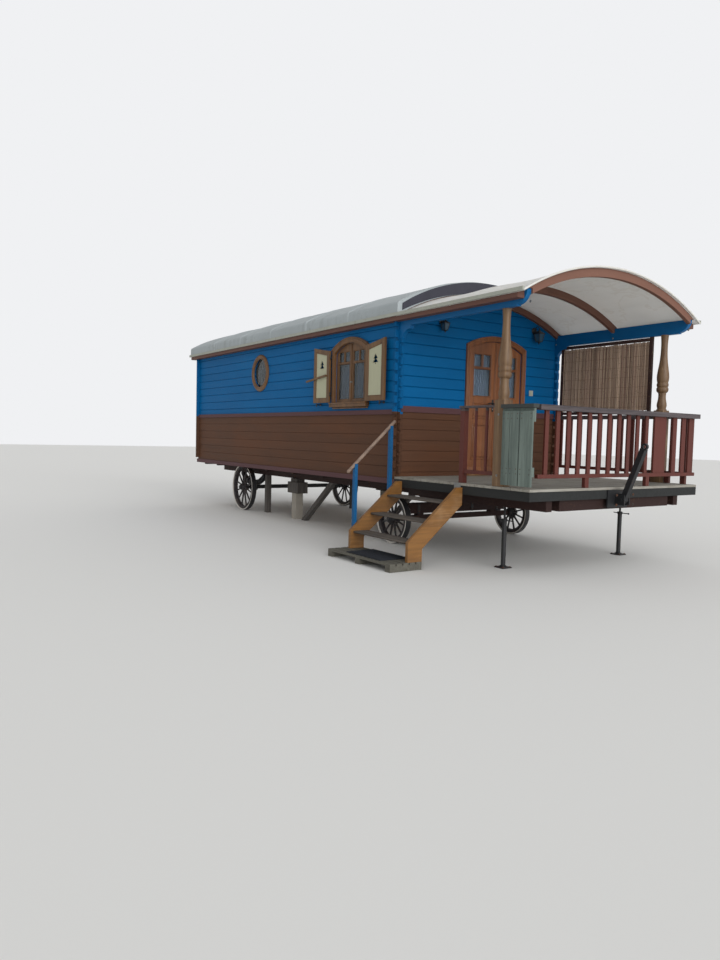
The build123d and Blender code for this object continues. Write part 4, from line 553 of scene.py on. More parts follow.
# The deck frame's near-black is painted shade: the rim under the deck's edge is coloured as dark as the
# shadow there, over its weathered grain.
FRAME_GREY_PAINTED_SHADE = weathered_wood("frame_grey_painted_shade", srgb(40, 42, 42), srgb(26, 28, 28), "x", srgb(24, 26, 26))
TREAD_GREY = weathered_wood("tread_grey", srgb(108, 100, 92), srgb(66, 60, 56), "x")
PALLET_GREY = weathered_wood("pallet_grey", srgb(112, 110, 100), srgb(72, 69, 61), "x")
FLOOR_WOOD = varnished_wood("floor_wood", srgb(176, 142, 100), srgb(128, 98, 66), "x", 0.4)
CHASSIS = painted_wood("chassis_paint", srgb(46, 27, 24), "level", 0.12, 0.6, srgb(84, 64, 50))
PROP_WOOD = weathered_wood("prop_wood", srgb(108, 104, 100), srgb(66, 62, 60), "z", srgb(58, 50, 46))
SCREEN_WOOD = painted_wood("screen_frame_paint", srgb(58, 38, 34), "level", 0.2, 0.5, srgb(110, 90, 72))
SAGE = sage_boards()
REED = reed_finish()
GLASS = pane_glass()
LAMP_PANE = lamp_pane()
NET = lace("curtain_net", srgb(74, 84, 106))
TEA_NET = lace("brown_net", srgb(46, 28, 21))
# The door's net is pale sky blue: partly its own colour, partly painted reflection of the sky in the door's
# glass.
DOOR_NET_SKY_REFLECTION = lace("door_net", srgb(150, 158, 178))
STONE = pier_stone()
MAT = rubber_mat()
WHEEL = wheel_paint()
BLACK_IRON = iron("black_iron", srgb(34, 34, 36), 0.42, 0.25)
TYRE = iron("tyre_iron", srgb(40, 40, 43), 0.5, 0.25)
WORN_IRON = iron("worn_iron", srgb(206, 202, 194), 0.38, 0.1)
GEAR_STEEL = iron("gear_steel", srgb(27, 28, 31), 0.5, 0.3)
RUSTY = iron("rusty_iron", srgb(58, 48, 42), 0.65, 0.8)
ZINC = zinc()

FINISH_ROWS = (
    # finish, the nodes that it is on
    (BOARDS, "wall_right", "wall_left", "wall_front", "wall_rear"),
    (CORNER, "corner_ends"),
    (FLOOR_WOOD, "cabin_floor"),
    (PLUM_PAINT, "wall_trims"),
    (MEMBRANE, "roof_body"),
    (PAINTED_SHADE_FELT, "roof_board"),
    (CANVAS, "porch_sheet"),
    (FASCIA_PAINT, "fascia"),
    (DRIP, "drip_strips"),
    (BLUE_PAINT, "porch_plates"),
    (BOW_PAINT, "roof_bows"),
    (JOINERY, "window_casings", "window_sashes", "round_rings"),
    (GLASS, "window_glass", "door_right_glass", "door_left_glass"),
    (SHUTTER, "shutter_right_rear", "shutter_right_front", "shutter_left_front", "shutter_left_rear"),
    (BLACK_IRON, "hinge_irons", "door_handle", "lanterns"),
    (DOOR_VARNISH, "door_frame", "door_right", "door_left"),
    (DECK_GREY, "deck_boards"),
    (FRAME_GREY_PAINTED_SHADE, "deck_frame"),
    (POST_VARNISH, "porch_posts"),
    (RAIL_STAIN, "rail_front", "rail_left", "rail_right"),
    (SAGE, "grey_boards"),
    (SCREEN_WOOD, "screen_frame"),
    (REED, "reed_mat"),
    (CHASSIS, "chassis", "cross_timbers", "turntable_upper", "forecarriage"),
    (GEAR_STEEL, "rear_axle", "jacks", "bar_bracket", "draw_bar"),
    (WHEEL, "wheel_front_right", "wheel_front_left", "wheel_rear_right", "wheel_rear_left"),
    (STONE, "pier_blocks"),
    (PROP_WOOD, "prop_timbers"),
    (STEP_VARNISH, "step_stringers"),
    (TREAD_GREY, "step_treads"),
    (PALLET_GREY, "pallet"),
    (BLUE_POST, "handrail_posts"),
    (HANDRAIL_WOOD, "handrail"),
)
for finish, *names in FINISH_ROWS:
    for name in names:
        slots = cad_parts[name].data.materials
        slots.clear()
        slots.append(finish)


# Shapes

class Piece:
    """One made piece. Its parts are gathered in one mesh, at their own places in the frame."""

    def __init__(self):
        self.mesh = bmesh.new()

    def box(self, low, high, soft):
        """A squared part with eased edges, given by two opposite corners."""
        low, high = Vector(low), Vector(high)
        size = [max(abs(s), 1e-5) for s in high - low]
        place = Matrix.Translation((low + high) / 2) @ Matrix.Diagonal((*size, 1))
        corners = bmesh.ops.create_cube(self.mesh, size=1, matrix=place)["verts"]
        edges = {edge for corner in corners for edge in corner.link_edges}
        soft = min(soft, min(size) * 0.3)
        bmesh.ops.bevel(self.mesh, geom=list(edges), offset=soft, segments=2, affect="EDGES", profile=0.5)

    def skin(self, rings, closed=False):
        """Faces between rows of points, each row a closed loop or a single point."""
        made = [[self.mesh.verts.new(point) for point in ring] for ring in rings]
        for first, second in zip(made, made[1:] + ([made[0]] if closed else [])):
            count = max(len(first), len(second))
            for i in range(count):
                j = (i + 1) % count
                if len(first) == 1:
                    self.mesh.faces.new((first[0], second[i], second[j]))
                elif len(second) == 1:
                    self.mesh.faces.new((first[i], first[j], second[0]))
                else:
                    self.mesh.faces.new((first[i], first[j], second[j], second[i]))
        if not closed:
            for end in (made[0], made[-1]):
                if len(end) > 2:
                    self.mesh.faces.new(end)

    def turned(self, foot, direction, rows, sides=24, turn=0.0, closed=False):
        """A turned part: rows of (distance along the axis, radius)."""
        axis = Vector(direction).normalized()
        side = UP if abs(axis.z) < 0.7 else Vector((1, 0, 0))
        side = (side - axis * side.dot(axis)).normalized()
        other = axis.cross(side)
        rings = []
        for along, radius in rows:
            centre = Vector(foot) + axis * along
            angles = [turn + 2 * pi * i / sides for i in range(sides)]
            ring = [centre + (side * cos(a) + other * sin(a)) * radius for a in angles]
            rings.append(ring if radius > 1e-6 else [centre])
        self.skin(rings, closed)

    def rod(self, start, end, radius, sides=14, soft=0.15):
        """A round bar with eased ends."""
        start, end = Vector(start), Vector(end)
        length = (end - start).length
        ease = min(radius * soft * 2, length * 0.3)
        first = ((0, 0), (0, radius - ease), (ease, radius))
        last = ((length - ease, radius), (length, radius - ease), (length, 0))
        self.turned(start, end - start, first + last, sides)

    def swept(self, path, section, up, closed=False):
        """A section carried along a path: its first number lies across the path, its second along up."""
        path, up = [Vector(point) for point in path], Vector(up)
        rings = []
        for i, point in enumerate(path):
            before = path[i - 1] if closed or i else path[i]
            after = path[(i + 1) % len(path)] if closed or i + 1 < len(path) else path[i]
            ways = [way for way in (point - before, after - point) if way.length > 1e-9]
            ways = [way.normalized().cross(up).normalized() for way in ways]
            across = ways[0] + ways[-1]
            across = across / max(1 + ways[0].dot(ways[-1]), 0.3)
            rise = (after - before).cross(across).normalized()
            rise = rise if rise.dot(up) > 0 else -rise
            rings.append([point + across * u + rise * v for u, v in section])
        self.skin(rings, closed)

    def make(self, name, finish, slot, body="root", stands_for=(), smooth=38):
        """The finished piece, riding on its body."""
        bmesh.ops.recalc_face_normals(self.mesh, faces=self.mesh.faces)
        data = bpy.data.meshes.new(name)
        self.mesh.to_mesh(data)
        self.mesh.free()
        data.materials.append(finish)
        return placed(name, data, body, stands_for, smooth)


def placed(name, data, body="root", stands_for=(), smooth=38):
    """A mesh as a piece of the wagon."""
    data.polygons.foreach_set("use_smooth", [True] * len(data.polygons))
    data.set_sharp_from_angle(angle=radians(smooth))
    made = bpy.data.objects.new(name, data)
    bpy.context.scene.collection.objects.link(made)
    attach(made, body)
    if stands_for:
        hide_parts(*stands_for)
    return made


def round_section(radius, sides=8):
    """A circle of points."""
    return [(radius * cos(2 * pi * i / sides), radius * sin(2 * pi * i / sides)) for i in range(sides)]


def flat_section(wide, high, soft):
    """A rectangle with its two outer corners cut, standing on the path."""
    w, s = wide / 2, soft
    return [(-w, 0), (w, 0), (w, high - s), (w - s, high), (-w + s, high), (-w, high - s)]


def bead_section(wide, high):
    """A half-round moulding with a small step at each side."""
    w = wide / 2
    arc = [(w * 0.72 * cos(a), high * 0.35 + high * 0.65 * sin(a)) for a in (pi * i / 6 for i in range(7))]
    return [(-w, 0), (w, 0), (w, high * 0.35), *arc, (-w, high * 0.35)]


def arc_radius(half, rise):
    """The radius of an arc, from half its width and its rise."""
    return (half * half + rise * rise) / (2 * rise)


def arc_height(y, edge, crown):
    """Height of the roof's arc at y, from its heights at the edge and in the middle."""
    radius = arc_radius(ROOF_HALF, crown - edge)
    return crown - radius + sqrt(max(radius * radius - y * y, 0))


# Repeats made by rules: fixings and reeds

class Rule:
    """A Geometry Nodes tree with named inputs. It is run once and its result is kept as plain mesh."""

    def __init__(self, name, inputs):
        self.tree = bpy.data.node_groups.new(name, "GeometryNodeTree")
        sockets = self.tree.interface
        sockets.new_socket("Geometry", in_out="INPUT", socket_type="NodeSocketGeometry")
        sockets.new_socket("Geometry", in_out="OUTPUT", socket_type="NodeSocketGeometry")
        for title, kind in inputs.items():
            sockets.new_socket(title, in_out="INPUT", socket_type="NodeSocket" + kind)
        self.given = self.tree.nodes.new("NodeGroupInput").outputs
        self.result = self.tree.nodes.new("NodeGroupOutput").inputs[0]

    def node(self, kind, settings=None, inputs=None):
        return add_node(self.tree, kind, settings, inputs)

    def times(self, title, factor):
        """A named input multiplied by a number."""
        inputs = {0: self.given[title], 1: factor}
        return self.node("ShaderNodeMath", {"operation": "MULTIPLY"}, inputs).outputs[0]

    def end(self, instances):
        real = self.node("GeometryNodeRealizeInstances", None, {0: instances})
        painted = {0: real.outputs[0], "Material": self.given["Material"]}
        feed(self.tree, self.result, self.node("GeometryNodeSetMaterial", None, painted).outputs[0])

    def run(self, source, values):
        holder = bpy.data.objects.new("rule_source", source)
        bpy.context.scene.collection.objects.link(holder)
        modifier = holder.modifiers.new("rule", "NODES")
        modifier.node_group = self.tree
        for item in self.tree.interface.items_tree:
            if item.in_out == "INPUT" and item.name in values:
                modifier[item.identifier] = values[item.name]
        graph = bpy.context.evaluated_depsgraph_get()
        made = bpy.data.meshes.new_from_object(holder.evaluated_get(graph))
        bpy.data.objects.remove(holder)
        return made


def fixing_rule():
    """A washer and a head at each point, facing the way that the point's attribute gives."""
    rule = Rule("fixings", {"Radius": "Float", "Height": "Float", "Sides": "Int", "Material": "Material"})
    given = rule.given
    washer = rule.node("GeometryNodeMeshCylinder", None, {
        "Vertices": 14, "Radius": rule.times("Radius", 1.55), "Depth": rule.times("Height", 0.3),
    })
    head = rule.node("GeometryNodeMeshCone", None, {
        "Vertices": given["Sides"], "Radius Top": rule.times("Radius", 0.78),
        "Radius Bottom": given["Radius"], "Depth": given["Height"],
    })
    both = rule.node("GeometryNodeJoinGeometry", None, {0: [washer.outputs[0], head.outputs[0]]})
    facing = rule.node("GeometryNodeInputNamedAttribute", {"data_type": "FLOAT_VECTOR"}, {"Name": "facing"})
    turn = rule.node("FunctionNodeAlignRotationToVector", {"axis": "Z"}, {"Vector": facing.outputs[0]})
    rule.end(rule.node("GeometryNodeInstanceOnPoints", None, {
        "Points": given["Geometry"], "Instance": both.outputs[0], "Rotation": turn.outputs[0],
    }).outputs[0])
    return rule


FIXINGS = fixing_rule()


def fixings(name, rows, radius, height, sides, finish, body="root"):
    """Bolt, screw or nail heads: rows of (place, the way it faces)."""
    source = bpy.data.meshes.new(name + "_places")
    source.from_pydata([place for place, facing in rows], [], [])
    facings = source.attributes.new("facing", "FLOAT_VECTOR", "POINT")
    facings.data.foreach_set("vector", [number for place, facing in rows for number in facing])
    made = FIXINGS.run(source, {"Radius": radius, "Height": height, "Sides": sides, "Material": finish})
    return placed(name, made, body, smooth=30)


# Roof

ROOF_TAIL_X, ROOF_NOSE_X = -BODY_L - 0.180, 0.080
SHOULDER = 0.070
EAVE_GAP = 0.012
SKIN_LIFT, BOARD_LIFT = 0.006, 0.0006
SEAM_STEP = 1.12
SEAM = (
    # distance from the seam, the lap's height
    (-0.045, 0.0), (-0.042, 0.005), (0.030, 0.005), (0.034, 0.0),
)
TAIL_ROLL = (
    # reach beyond the tail, fall
    (0.036, 0.040), (0.034, 0.024), (0.026, 0.010), (0.014, 0.002),
)


def roof_line(lift):
    """The roof's outline across the wagon, from the right eave over the crown to the left one."""
    half = ROOF_HALF + lift
    eave = ROOF_EDGE - DECK
    edge, crown = eave + ROOF_T + lift, ROOF_CROWN - DECK + ROOF_T + lift
    radius = arc_radius(half, crown - edge)
    centre_z = crown - radius
    corner_y = half - SHOULDER
    corner_z = centre_z + sqrt((radius - SHOULDER) ** 2 - corner_y ** 2)
    lean = atan2(corner_y, corner_z - centre_z)
    left = [(half, eave + EAVE_GAP), (half, (eave + corner_z) / 2)]
    bends = ((pi / 2 - lean) * i / 6 for i in range(7))
    left += [(corner_y + SHOULDER * cos(a), corner_z + SHOULDER * sin(a)) for a in bends]
    turns = (lean * (1 - i / 18) for i in range(1, 19))
    left += [(radius * sin(a), centre_z + radius * cos(a)) for a in turns]
    return [(-y, z) for y, z in left] + [(y, z) for y, z in reversed(left[:-1])]


def roof_skin():
    """The membrane: lapped sheets that lie a little uneven over the boards, rolled down at the tail."""
    piece = Piece()
    count = round((ROOF_NOSE_X - ROOF_TAIL_X) / SEAM_STEP)
    pitch = (ROOF_NOSE_X - ROOF_TAIL_X) / count
    stations = [(ROOF_TAIL_X - reach, -fall) for reach, fall in TAIL_ROLL]
    stations.append((ROOF_TAIL_X - 0.003, 0.0))
    for i in range(count):
        start = ROOF_TAIL_X + i * pitch
        if i:
            stations += [(start + along, lap) for along, lap in SEAM]
        stations += [(start + pitch * t, 0.0) for t in (0.15, 0.32, 0.5, 0.68, 0.85)]
    stations.append((ROOF_NOSE_X + 0.003, 0.0))
    rings = []
    for x, lap in stations:
        outer = []
        for i, (y, z) in enumerate(roof_line(SKIN_LIFT + lap)):
            swell = 0.0045 * noise.noise(Vector((x * 1.7, i * 0.33, 0.0)))
            outer.append(at(x, y * (1 + swell / 2), z + swell))
        rings.append(outer + [at(x, y, z) for y, z in reversed(roof_line(BOARD_LIFT + min(lap, 0)))])
    piece.skin(rings)
    piece.make("roof_skin", MEMBRANE, "roof_membrane", smooth=50)


BOW_BACKS = (0.0, 1.000, 2.118)
BOW_T = 0.052
CLOTH_NOSE = 2.196
CLOTH_T = 0.003
CLOTH_LOW = 0.014
CLOTH_SAG = 0.014


def across_roof(steps):
    """Places across the porch, from edge to edge of its cloth."""
    return [-ROOF_HALF + 2 * ROOF_HALF * i / steps for i in range(steps + 1)]


def porch_canvas():
    """The porch canvas: stretched over the bows, hanging slightly between them, with a rolled hem."""
    edge, crown = ROOF_EDGE - DECK - CLOTH_LOW, ROOF_CROWN - DECK - CLOTH_LOW
    spans = ((BOW_BACKS[0] + BOW_T + 0.004, BOW_BACKS[1]), (BOW_BACKS[1] + BOW_T, BOW_BACKS[2]))
    places = []
    for start, end in spans:
        places += [(start + (end - start) * i / 14, CLOTH_SAG * sin(pi * i / 14) ** 1.3) for i in range(15)]
    places += [(BOW_BACKS[2] + BOW_T, 0.0), (CLOTH_NOSE - 0.012, -0.002), (CLOTH_NOSE, -0.003)]
    piece, hem = Piece(), Piece()
    rings = []
    for x, sag in places:
        over, under = [], []
        for y in across_roof(48):
            crease = 0.002 * noise.noise(Vector((x * 2.6 + y * 1.1, y * 1.4, 3.0)))
            z = arc_height(y, edge, crown) - (sag + crease * (sag > 0)) * (1 - (y / ROOF_HALF) ** 4)
            over.append(at(x, y, z + CLOTH_T))
            under.append(at(x, y, z))
        rings.append(over + under[::-1])
    piece.skin(rings)
    cloth = piece.make("porch_canvas", CANVAS, "porch_cloth", stands_for=("porch_sheet",), smooth=60)
    path = [at(CLOTH_NOSE + 0.001, y, arc_height(y, edge, crown) + 0.010) for y in across_roof(60)]
    hem.swept(path, round_section(0.0115, 10), UP)
    edging = hem.make("porch_canvas_hem", CANVAS, "porch_cloth", smooth=60)


# Posts and lanterns

POST_ROWS = (
    # height above the deck, radius
    (0.940, 0.066), (0.952, 0.064), (0.960, 0.054), (0.972, 0.055), (1.000, 0.062), (1.030, 0.060),
    (1.060, 0.054), (1.085, 0.049), (1.110, 0.047), (1.140, 0.047), (1.165, 0.049), (1.178, 0.062),
    (1.184, 0.068), (1.198, 0.073), (1.213, 0.0745), (1.228, 0.073), (1.238, 0.067), (1.241, 0.064),
    (1.246, 0.067), (1.256, 0.072), (1.271, 0.0735), (1.286, 0.072), (1.296, 0.067), (1.300, 0.066),
    (1.312, 0.070), (1.345, 0.075), (1.375, 0.076), (1.405, 0.074), (1.440, 0.070), (1.480, 0.064),
    (1.520, 0.058), (1.560, 0.052), (1.600, 0.048), (1.650, 0.044), (1.700, 0.042), (1.750, 0.041),
    (1.800, 0.0412), (1.840, 0.043), (1.880, 0.046), (1.915, 0.049),
)
POST_X, POST_Y, POST_HALF = 1.820, 1.445, 0.070


def turned_posts():
    """Porch posts: square to the rail, with rings under a long vase."""
    piece = Piece()
    half, square = Vector((POST_HALF, POST_HALF, 0)), POST_ROWS[0][0]
    rows = ((square - 0.004, 0.0), *POST_ROWS, (POST_ROWS[-1][0], 0.0))
    for side in SIDES:
        foot = at(POST_X, side * POST_Y, 0)
        piece.box(foot - half, foot + half + UP * square, 0.006)
        piece.turned(foot, UP, rows, 40)
    piece.make("turned_posts", POST_VARNISH, "post_varnish", stands_for=("porch_posts",), smooth=30)


LANTERN_ROWS = (
    # y, height of the case's foot, size
    (-0.810, 1.930, 0.8),
    (0.975, 1.940, 1.0),
)
# Turned and hipped parts of a lantern of size 1: height above the case's foot, radius
LANTERN_CAP = (
    (0.176, 0.0), (0.176, 0.010), (0.168, 0.013), (0.160, 0.020), (0.148, 0.042), (0.122, 0.084),
    (0.116, 0.086), (0.113, 0.080), (0.113, 0.0),
)
LANTERN_KNOB = ((0.172, 0), (0.176, 0.007), (0.183, 0.009), (0.190, 0.006), (0.194, 0))
LANTERN_FOOT = (
    (-0.042, 0.0), (-0.034, 0.004), (-0.016, 0.010), (-0.010, 0.018), (-0.002, 0.02), (0.0, 0.048),
    (0.006, 0.050), (0.009, 0.044), (0.009, 0.0),
)
LANTERN_CASE = ((0.010, 0.0), (0.010, 0.043), (0.112, 0.070), (0.112, 0.0))
LANTERN_BULB = (
    (0.014, 0), (0.014, 0.012), (0.035, 0.013), (0.045, 0.02), (0.06, 0.024), (0.078, 0.019), (0.088, 0),
)


def hanging_lanterns():
    """Black lanterns: a round wall plate, a curled arm, and a tapered glazed case under a hipped cap."""
    irons, panes, bulbs = Piece(), Piece(), Piece()
    turned_rows = (
        (irons, LANTERN_CAP, 4), (irons, LANTERN_KNOB, 12), (irons, LANTERN_FOOT, 4),
        (panes, LANTERN_CASE, 4), (bulbs, LANTERN_BULB, 16),
    )
    for y, z, k in LANTERN_ROWS:
        place, wall = at(0.105 * k, y, z), at(0, y, z + 0.170 * k)
        plate = ((0, 0), (0, 0.048 * k), (0.006, 0.048 * k), (0.010, 0.038 * k))
        irons.turned(wall, (1, 0, 0), plate + ((0.018 * k, 0.012 * k), (0.02 * k, 0)), 24)
        arm, curl = [], []
        for t in (i / 12 for i in range(13)):
            arm.append(wall + Vector((0.012 + 0.093 * k * t, 0, k * (0.042 * sin(pi * t) + 0.026 * t))))
        for i in range(14):
            a, size = pi / 2 - i * 0.45, k * (1 - i / 22)
            reach, rise = 0.012 + 0.03 * k + 0.022 * cos(a) * size, 0.03 * sin(a) * size - 0.012 * k
            curl.append(wall + Vector((reach, 0, rise)))
        irons.swept(arm, round_section(0.006 * k), (0, 1, 0))
        irons.swept(curl, round_section(0.004 * k, 6), (0, 1, 0))
        for piece, rows, sides in turned_rows:
            piece.turned(place, UP, [(h * k, r * k) for h, r in rows], sides, pi / 4 if sides == 4 else 0.0)
        for a in (pi / 4 + i * pi / 2 for i in range(4)):
            out = Vector((cos(a), sin(a), 0))
            start, end = out * 0.046 + UP * 0.006, out * 0.074 + UP * 0.114
            irons.rod(place + start * k, place + end * k, 0.0042 * k, 8)
    irons.make("lantern_frames", BLACK_IRON, "iron", stands_for=("lanterns",), smooth=28)
    panes.make("lantern_panes", LAMP_PANE, "glass", smooth=20)
    bulbs.make("lantern_bulbs", GLASS, "glass")


# Wheels

AXLE_REAR, AXLE_FRONT = -5.230, -0.480
WHEEL_ROWS = (
    # node, body, distance from the front wall, side, radius
    ("wheel_front_right", "wheel_fr", AXLE_FRONT, -1, 0.335),
    ("wheel_front_left", "wheel_fl", AXLE_FRONT, 1, 0.335),
    ("wheel_rear_right", "wheel_rr", AXLE_REAR, -1, 0.435),
    ("wheel_rear_left", "wheel_rl", AXLE_REAR, 1, 0.435),
)
WHEEL_Y = 1.150
SPOKES, FELLOES = 12, 6
SPOKE_TURN = radians(15)
TYRE_T, FELLOE_T, FELLOE_GAP = 0.014, 0.058, 0.0012
BOLT_AWAY = 0.045
HUB = (
    # distance along the axle, radius
    (-0.085, 0.0), (-0.085, 0.044), (-0.078, 0.050), (-0.045, 0.062), (-0.036, 0.070), (-0.010, 0.073),
    (0.012, 0.073), (0.036, 0.068), (0.048, 0.058), (0.070, 0.048), (0.085, 0.042), (0.085, 0.0),
)
HUB_CAP = ((0.083, 0.0), (0.083, 0.036), (0.096, 0.035), (0.104, 0.029), (0.108, 0.0))
HUB_BANDS = ((-0.074, 0.0535), (-0.038, 0.0725), (0.038, 0.0705), (0.077, 0.0485))
BAND_HALF, BAND_T = 0.007, 0.006
# A spoke: distance from the centre, or from the rim's inner face, half width, half depth
SPOKE_FOOT = ((0.062, 0.019, 0.023), (0.090, 0.017, 0.022), (0.125, 0.0125, 0.018))
SPOKE_TIP = ((-0.04, 0.0125, 0.015), (-0.018, 0.016, 0.016), (0.006, 0.0165, 0.0165))
FELLOE = (
    # distance across the rim, height over its inner face
    (-0.030, 0.0), (0.030, 0.0), (0.036, 0.006), (0.036, 0.052), (0.033, 0.0578), (-0.033, 0.0578),
    (-0.036, 0.052), (-0.036, 0.006),
)
# The tyre and its worn edge: distance across the rim, height over the wheel's radius
TYRE_RING = (
    (-0.046, -0.0138), (-0.046, -0.003), (-0.043, 0.0), (0.043, 0.0), (0.046, -0.003), (0.046, -0.0138),
)
WORN_RING = ((0.0357, -0.0215), (0.0375, -0.0215), (0.0466, -0.0150), (0.0466, -0.0030), (0.0448, -0.0012))


def rim_way(angle):
    """The way from a wheel's centre to its rim."""
    return Vector((cos(angle), 0, sin(angle)))


def spoked_wheel(node, body, x, side, radius):
    """A wheel: turned hub with bands, shaved spokes, six felloes and an iron tyre bolted through them."""
    centre, out = at(x, side * WHEEL_Y, radius - DECK), Vector((0, side, 0))
    wood, metal, edges = Piece(), Piece(), Piece()
    wood.turned(centre, out, HUB, 28)
    for along, r in HUB_BANDS:
        low, high = along - BAND_HALF, along + BAND_HALF
        band = ((low, r - BAND_T), (low, r), (high, r), (high, r - BAND_T))
        metal.turned(centre, out, band, 28, closed=True)
    metal.turned(centre, out, HUB_CAP, 8)
    inner = radius - TYRE_T - FELLOE_T
    spoke = SPOKE_FOOT + tuple((inner + reach, wide, deep) for reach, wide, deep in SPOKE_TIP)
    for i in range(SPOKES):
        way = rim_way(2 * pi * i / SPOKES + SPOKE_TURN)
        flat = way.cross(out)
        wood.skin([
            [centre + way * reach + flat * wide * c + out * deep * s for c, s in round_section(1, 10)]
            for reach, wide, deep in spoke
        ])
    step = 2 * pi / FELLOES
    gap = FELLOE_GAP / radius
    heads = []
    for i in range(FELLOES):
        ways = [rim_way(i * step + gap + (step - 2 * gap) * j / 10) for j in range(11)]
        wood.skin([
            [centre + way * (inner + depth) + out * across for across, depth in FELLOE]
            for way in ways
        ])
        for near in SIDES:
            bolt = centre + rim_way(i * step + near * BOLT_AWAY / radius) * (inner + FELLOE_T / 2)
            heads += [(bolt + out * face * 0.037, out * face) for face in (1, -1)]
    metal.turned(centre, out, [(along, radius + depth) for along, depth in TYRE_RING], 72, closed=True)
    for face in SIDES:
        worn = [(face * along, radius + depth) for along, depth in WORN_RING[::face]]
        edges.turned(centre, out, worn, 72, closed=True)
    wood.make(node + "_wood", WHEEL, "wheel_dark", body, (node,), 32)
    metal.make(node + "_iron", TYRE, "bar_steel", body, smooth=32)
    edges.make(node + "_worn_edges", WORN_IRON, "bar_steel", body, smooth=32)
    fixings(node + "_bolts", heads, 0.006, 0.006, 6, RUSTY, body)


# Windows

class Wall:
    """One opening's place on a wall: u along the wall, v up from its foot, d out from the wall's face."""

    def __init__(self, origin, along, out):
        self.origin = origin
        self.along = Vector(along)
        self.out = Vector(out)

    def at(self, u, v, d):
        return self.origin + self.along * u + UP * v + self.out * d

    def arch(self, half, spring, apex, d, foot=None):
        """Points over an arched head, from one jamb's foot to the other's if a foot is given."""
        radius = arc_radius(half, apex - spring)
        reach = atan2(half, radius - (apex - spring))
        turns = [reach * (1 - i / 10) for i in range(21)]
        line = [(radius * sin(a), apex - radius + radius * cos(a)) for a in turns]
        if foot is not None:
            line = [(half, foot)] + line + [(-half, foot)]
        return [self.at(u, v, d) for u, v in line]

    def frame(self, u, low, high, wide, d):
        """A closed rectangle about u."""
        half = wide / 2
        return [self.at(u + a, v, d) for a, v in ((-half, low), (half, low), (half, high), (-half, high))]


WINDOW_HALF, WINDOW_SPRING, WINDOW_APEX = 0.378, 0.700, 0.832
CASING, CASING_FACE = 0.062, 0.0402
WALLS = {
    "right": Wall(at(WINDOW_X, -HALF_W, WINDOW_Z), (1, 0, 0), (0, -1, 0)),
    "left": Wall(at(WINDOW_X, HALF_W, WINDOW_Z), (1, 0, 0), (0, 1, 0)),
    "rear": Wall(at(-BODY_L, 0, WINDOW_Z), (0, 1, 0), (-1, 0, 0)),
}
DOORWAY = Wall(at(0, DOOR_Y, 0), (0, 1, 0), (1, 0, 0))
SASH_STRIPS = (
    # half length, lowest, highest, innermost, outermost, soft edge; the sill comes first, then the
    # apron under it, the meeting stile and the foot rail
    (0.468, -0.020, 0.001, 0.001, 0.079, 0.007),
    (0.446, -0.088, -0.062, 0.0, 0.020, 0.006),
    (0.012, 0.012, 0.812, -0.0058, 0.004, 0.005),
    (0.360, 0.004, 0.018, -0.0058, 0.003, 0.003),
)
KNOB = (
    (0, 0), (0, 0.013), (0.003, 0.013), (0.005, 0.006), (0.014, 0.006), (0.018, 0.011), (0.026, 0.012),
    (0.030, 0.008), (0.031, 0),
)


def window_joinery():
    """Mouldings on the casings, a drip cap, a rounded sill, and beads round the panes."""
    wood, knobs = Piece(), Piece()
    for wall in WALLS.values():
        for edge, wide, high in ((CASING - 0.012, 0.018, 0.0042), (0.009, 0.013, 0.003)):
            spring, apex = WINDOW_SPRING + edge - 0.008, WINDOW_APEX + edge
            line = wall.arch(WINDOW_HALF + edge, spring, apex, CASING_FACE, 0.003)
            wood.swept(line, bead_section(wide, high), wall.out)
        edge = CASING + 0.009
        line = wall.arch(WINDOW_HALF + edge + 0.012, WINDOW_SPRING + edge - 0.016, WINDOW_APEX + edge, 0.0)
        wood.swept(line, flat_section(0.017, 0.0445, 0.005), wall.out)
        for half, low, high, back, front, soft in SASH_STRIPS:
            wood.box(wall.at(-half, low, back), wall.at(half, high, front), soft)
        for side in SIDES:
            centre = side * 0.189
            panes = [(centre, 0.046, 0.550, 0.286)]
            panes += [(centre + hand * 0.0765, 0.570, 0.720, 0.133) for hand in SIDES]
            for u, low, high, wide in panes:
                line = wall.frame(u, low + 0.004, high - 0.004, wide - 0.008, -0.0188)
                wood.swept(line, flat_section(0.0085, 0.009, 0.003), wall.out, closed=True)
        knobs.turned(wall.at(0.024, 0.285, -0.007), wall.out, KNOB, 20)
    wood.make("window_joinery", JOINERY, "varnish", smooth=35)
    knobs.make("window_knobs", ZINC, "bar_steel", smooth=35)


# Curtains

NET_BACK, NET_T = 0.082, 0.0009
FOLD_PITCH, COLUMN_W = 0.036, 0.0045
NET_HALVES = ((-0.41, -0.012), (0.012, 0.41))


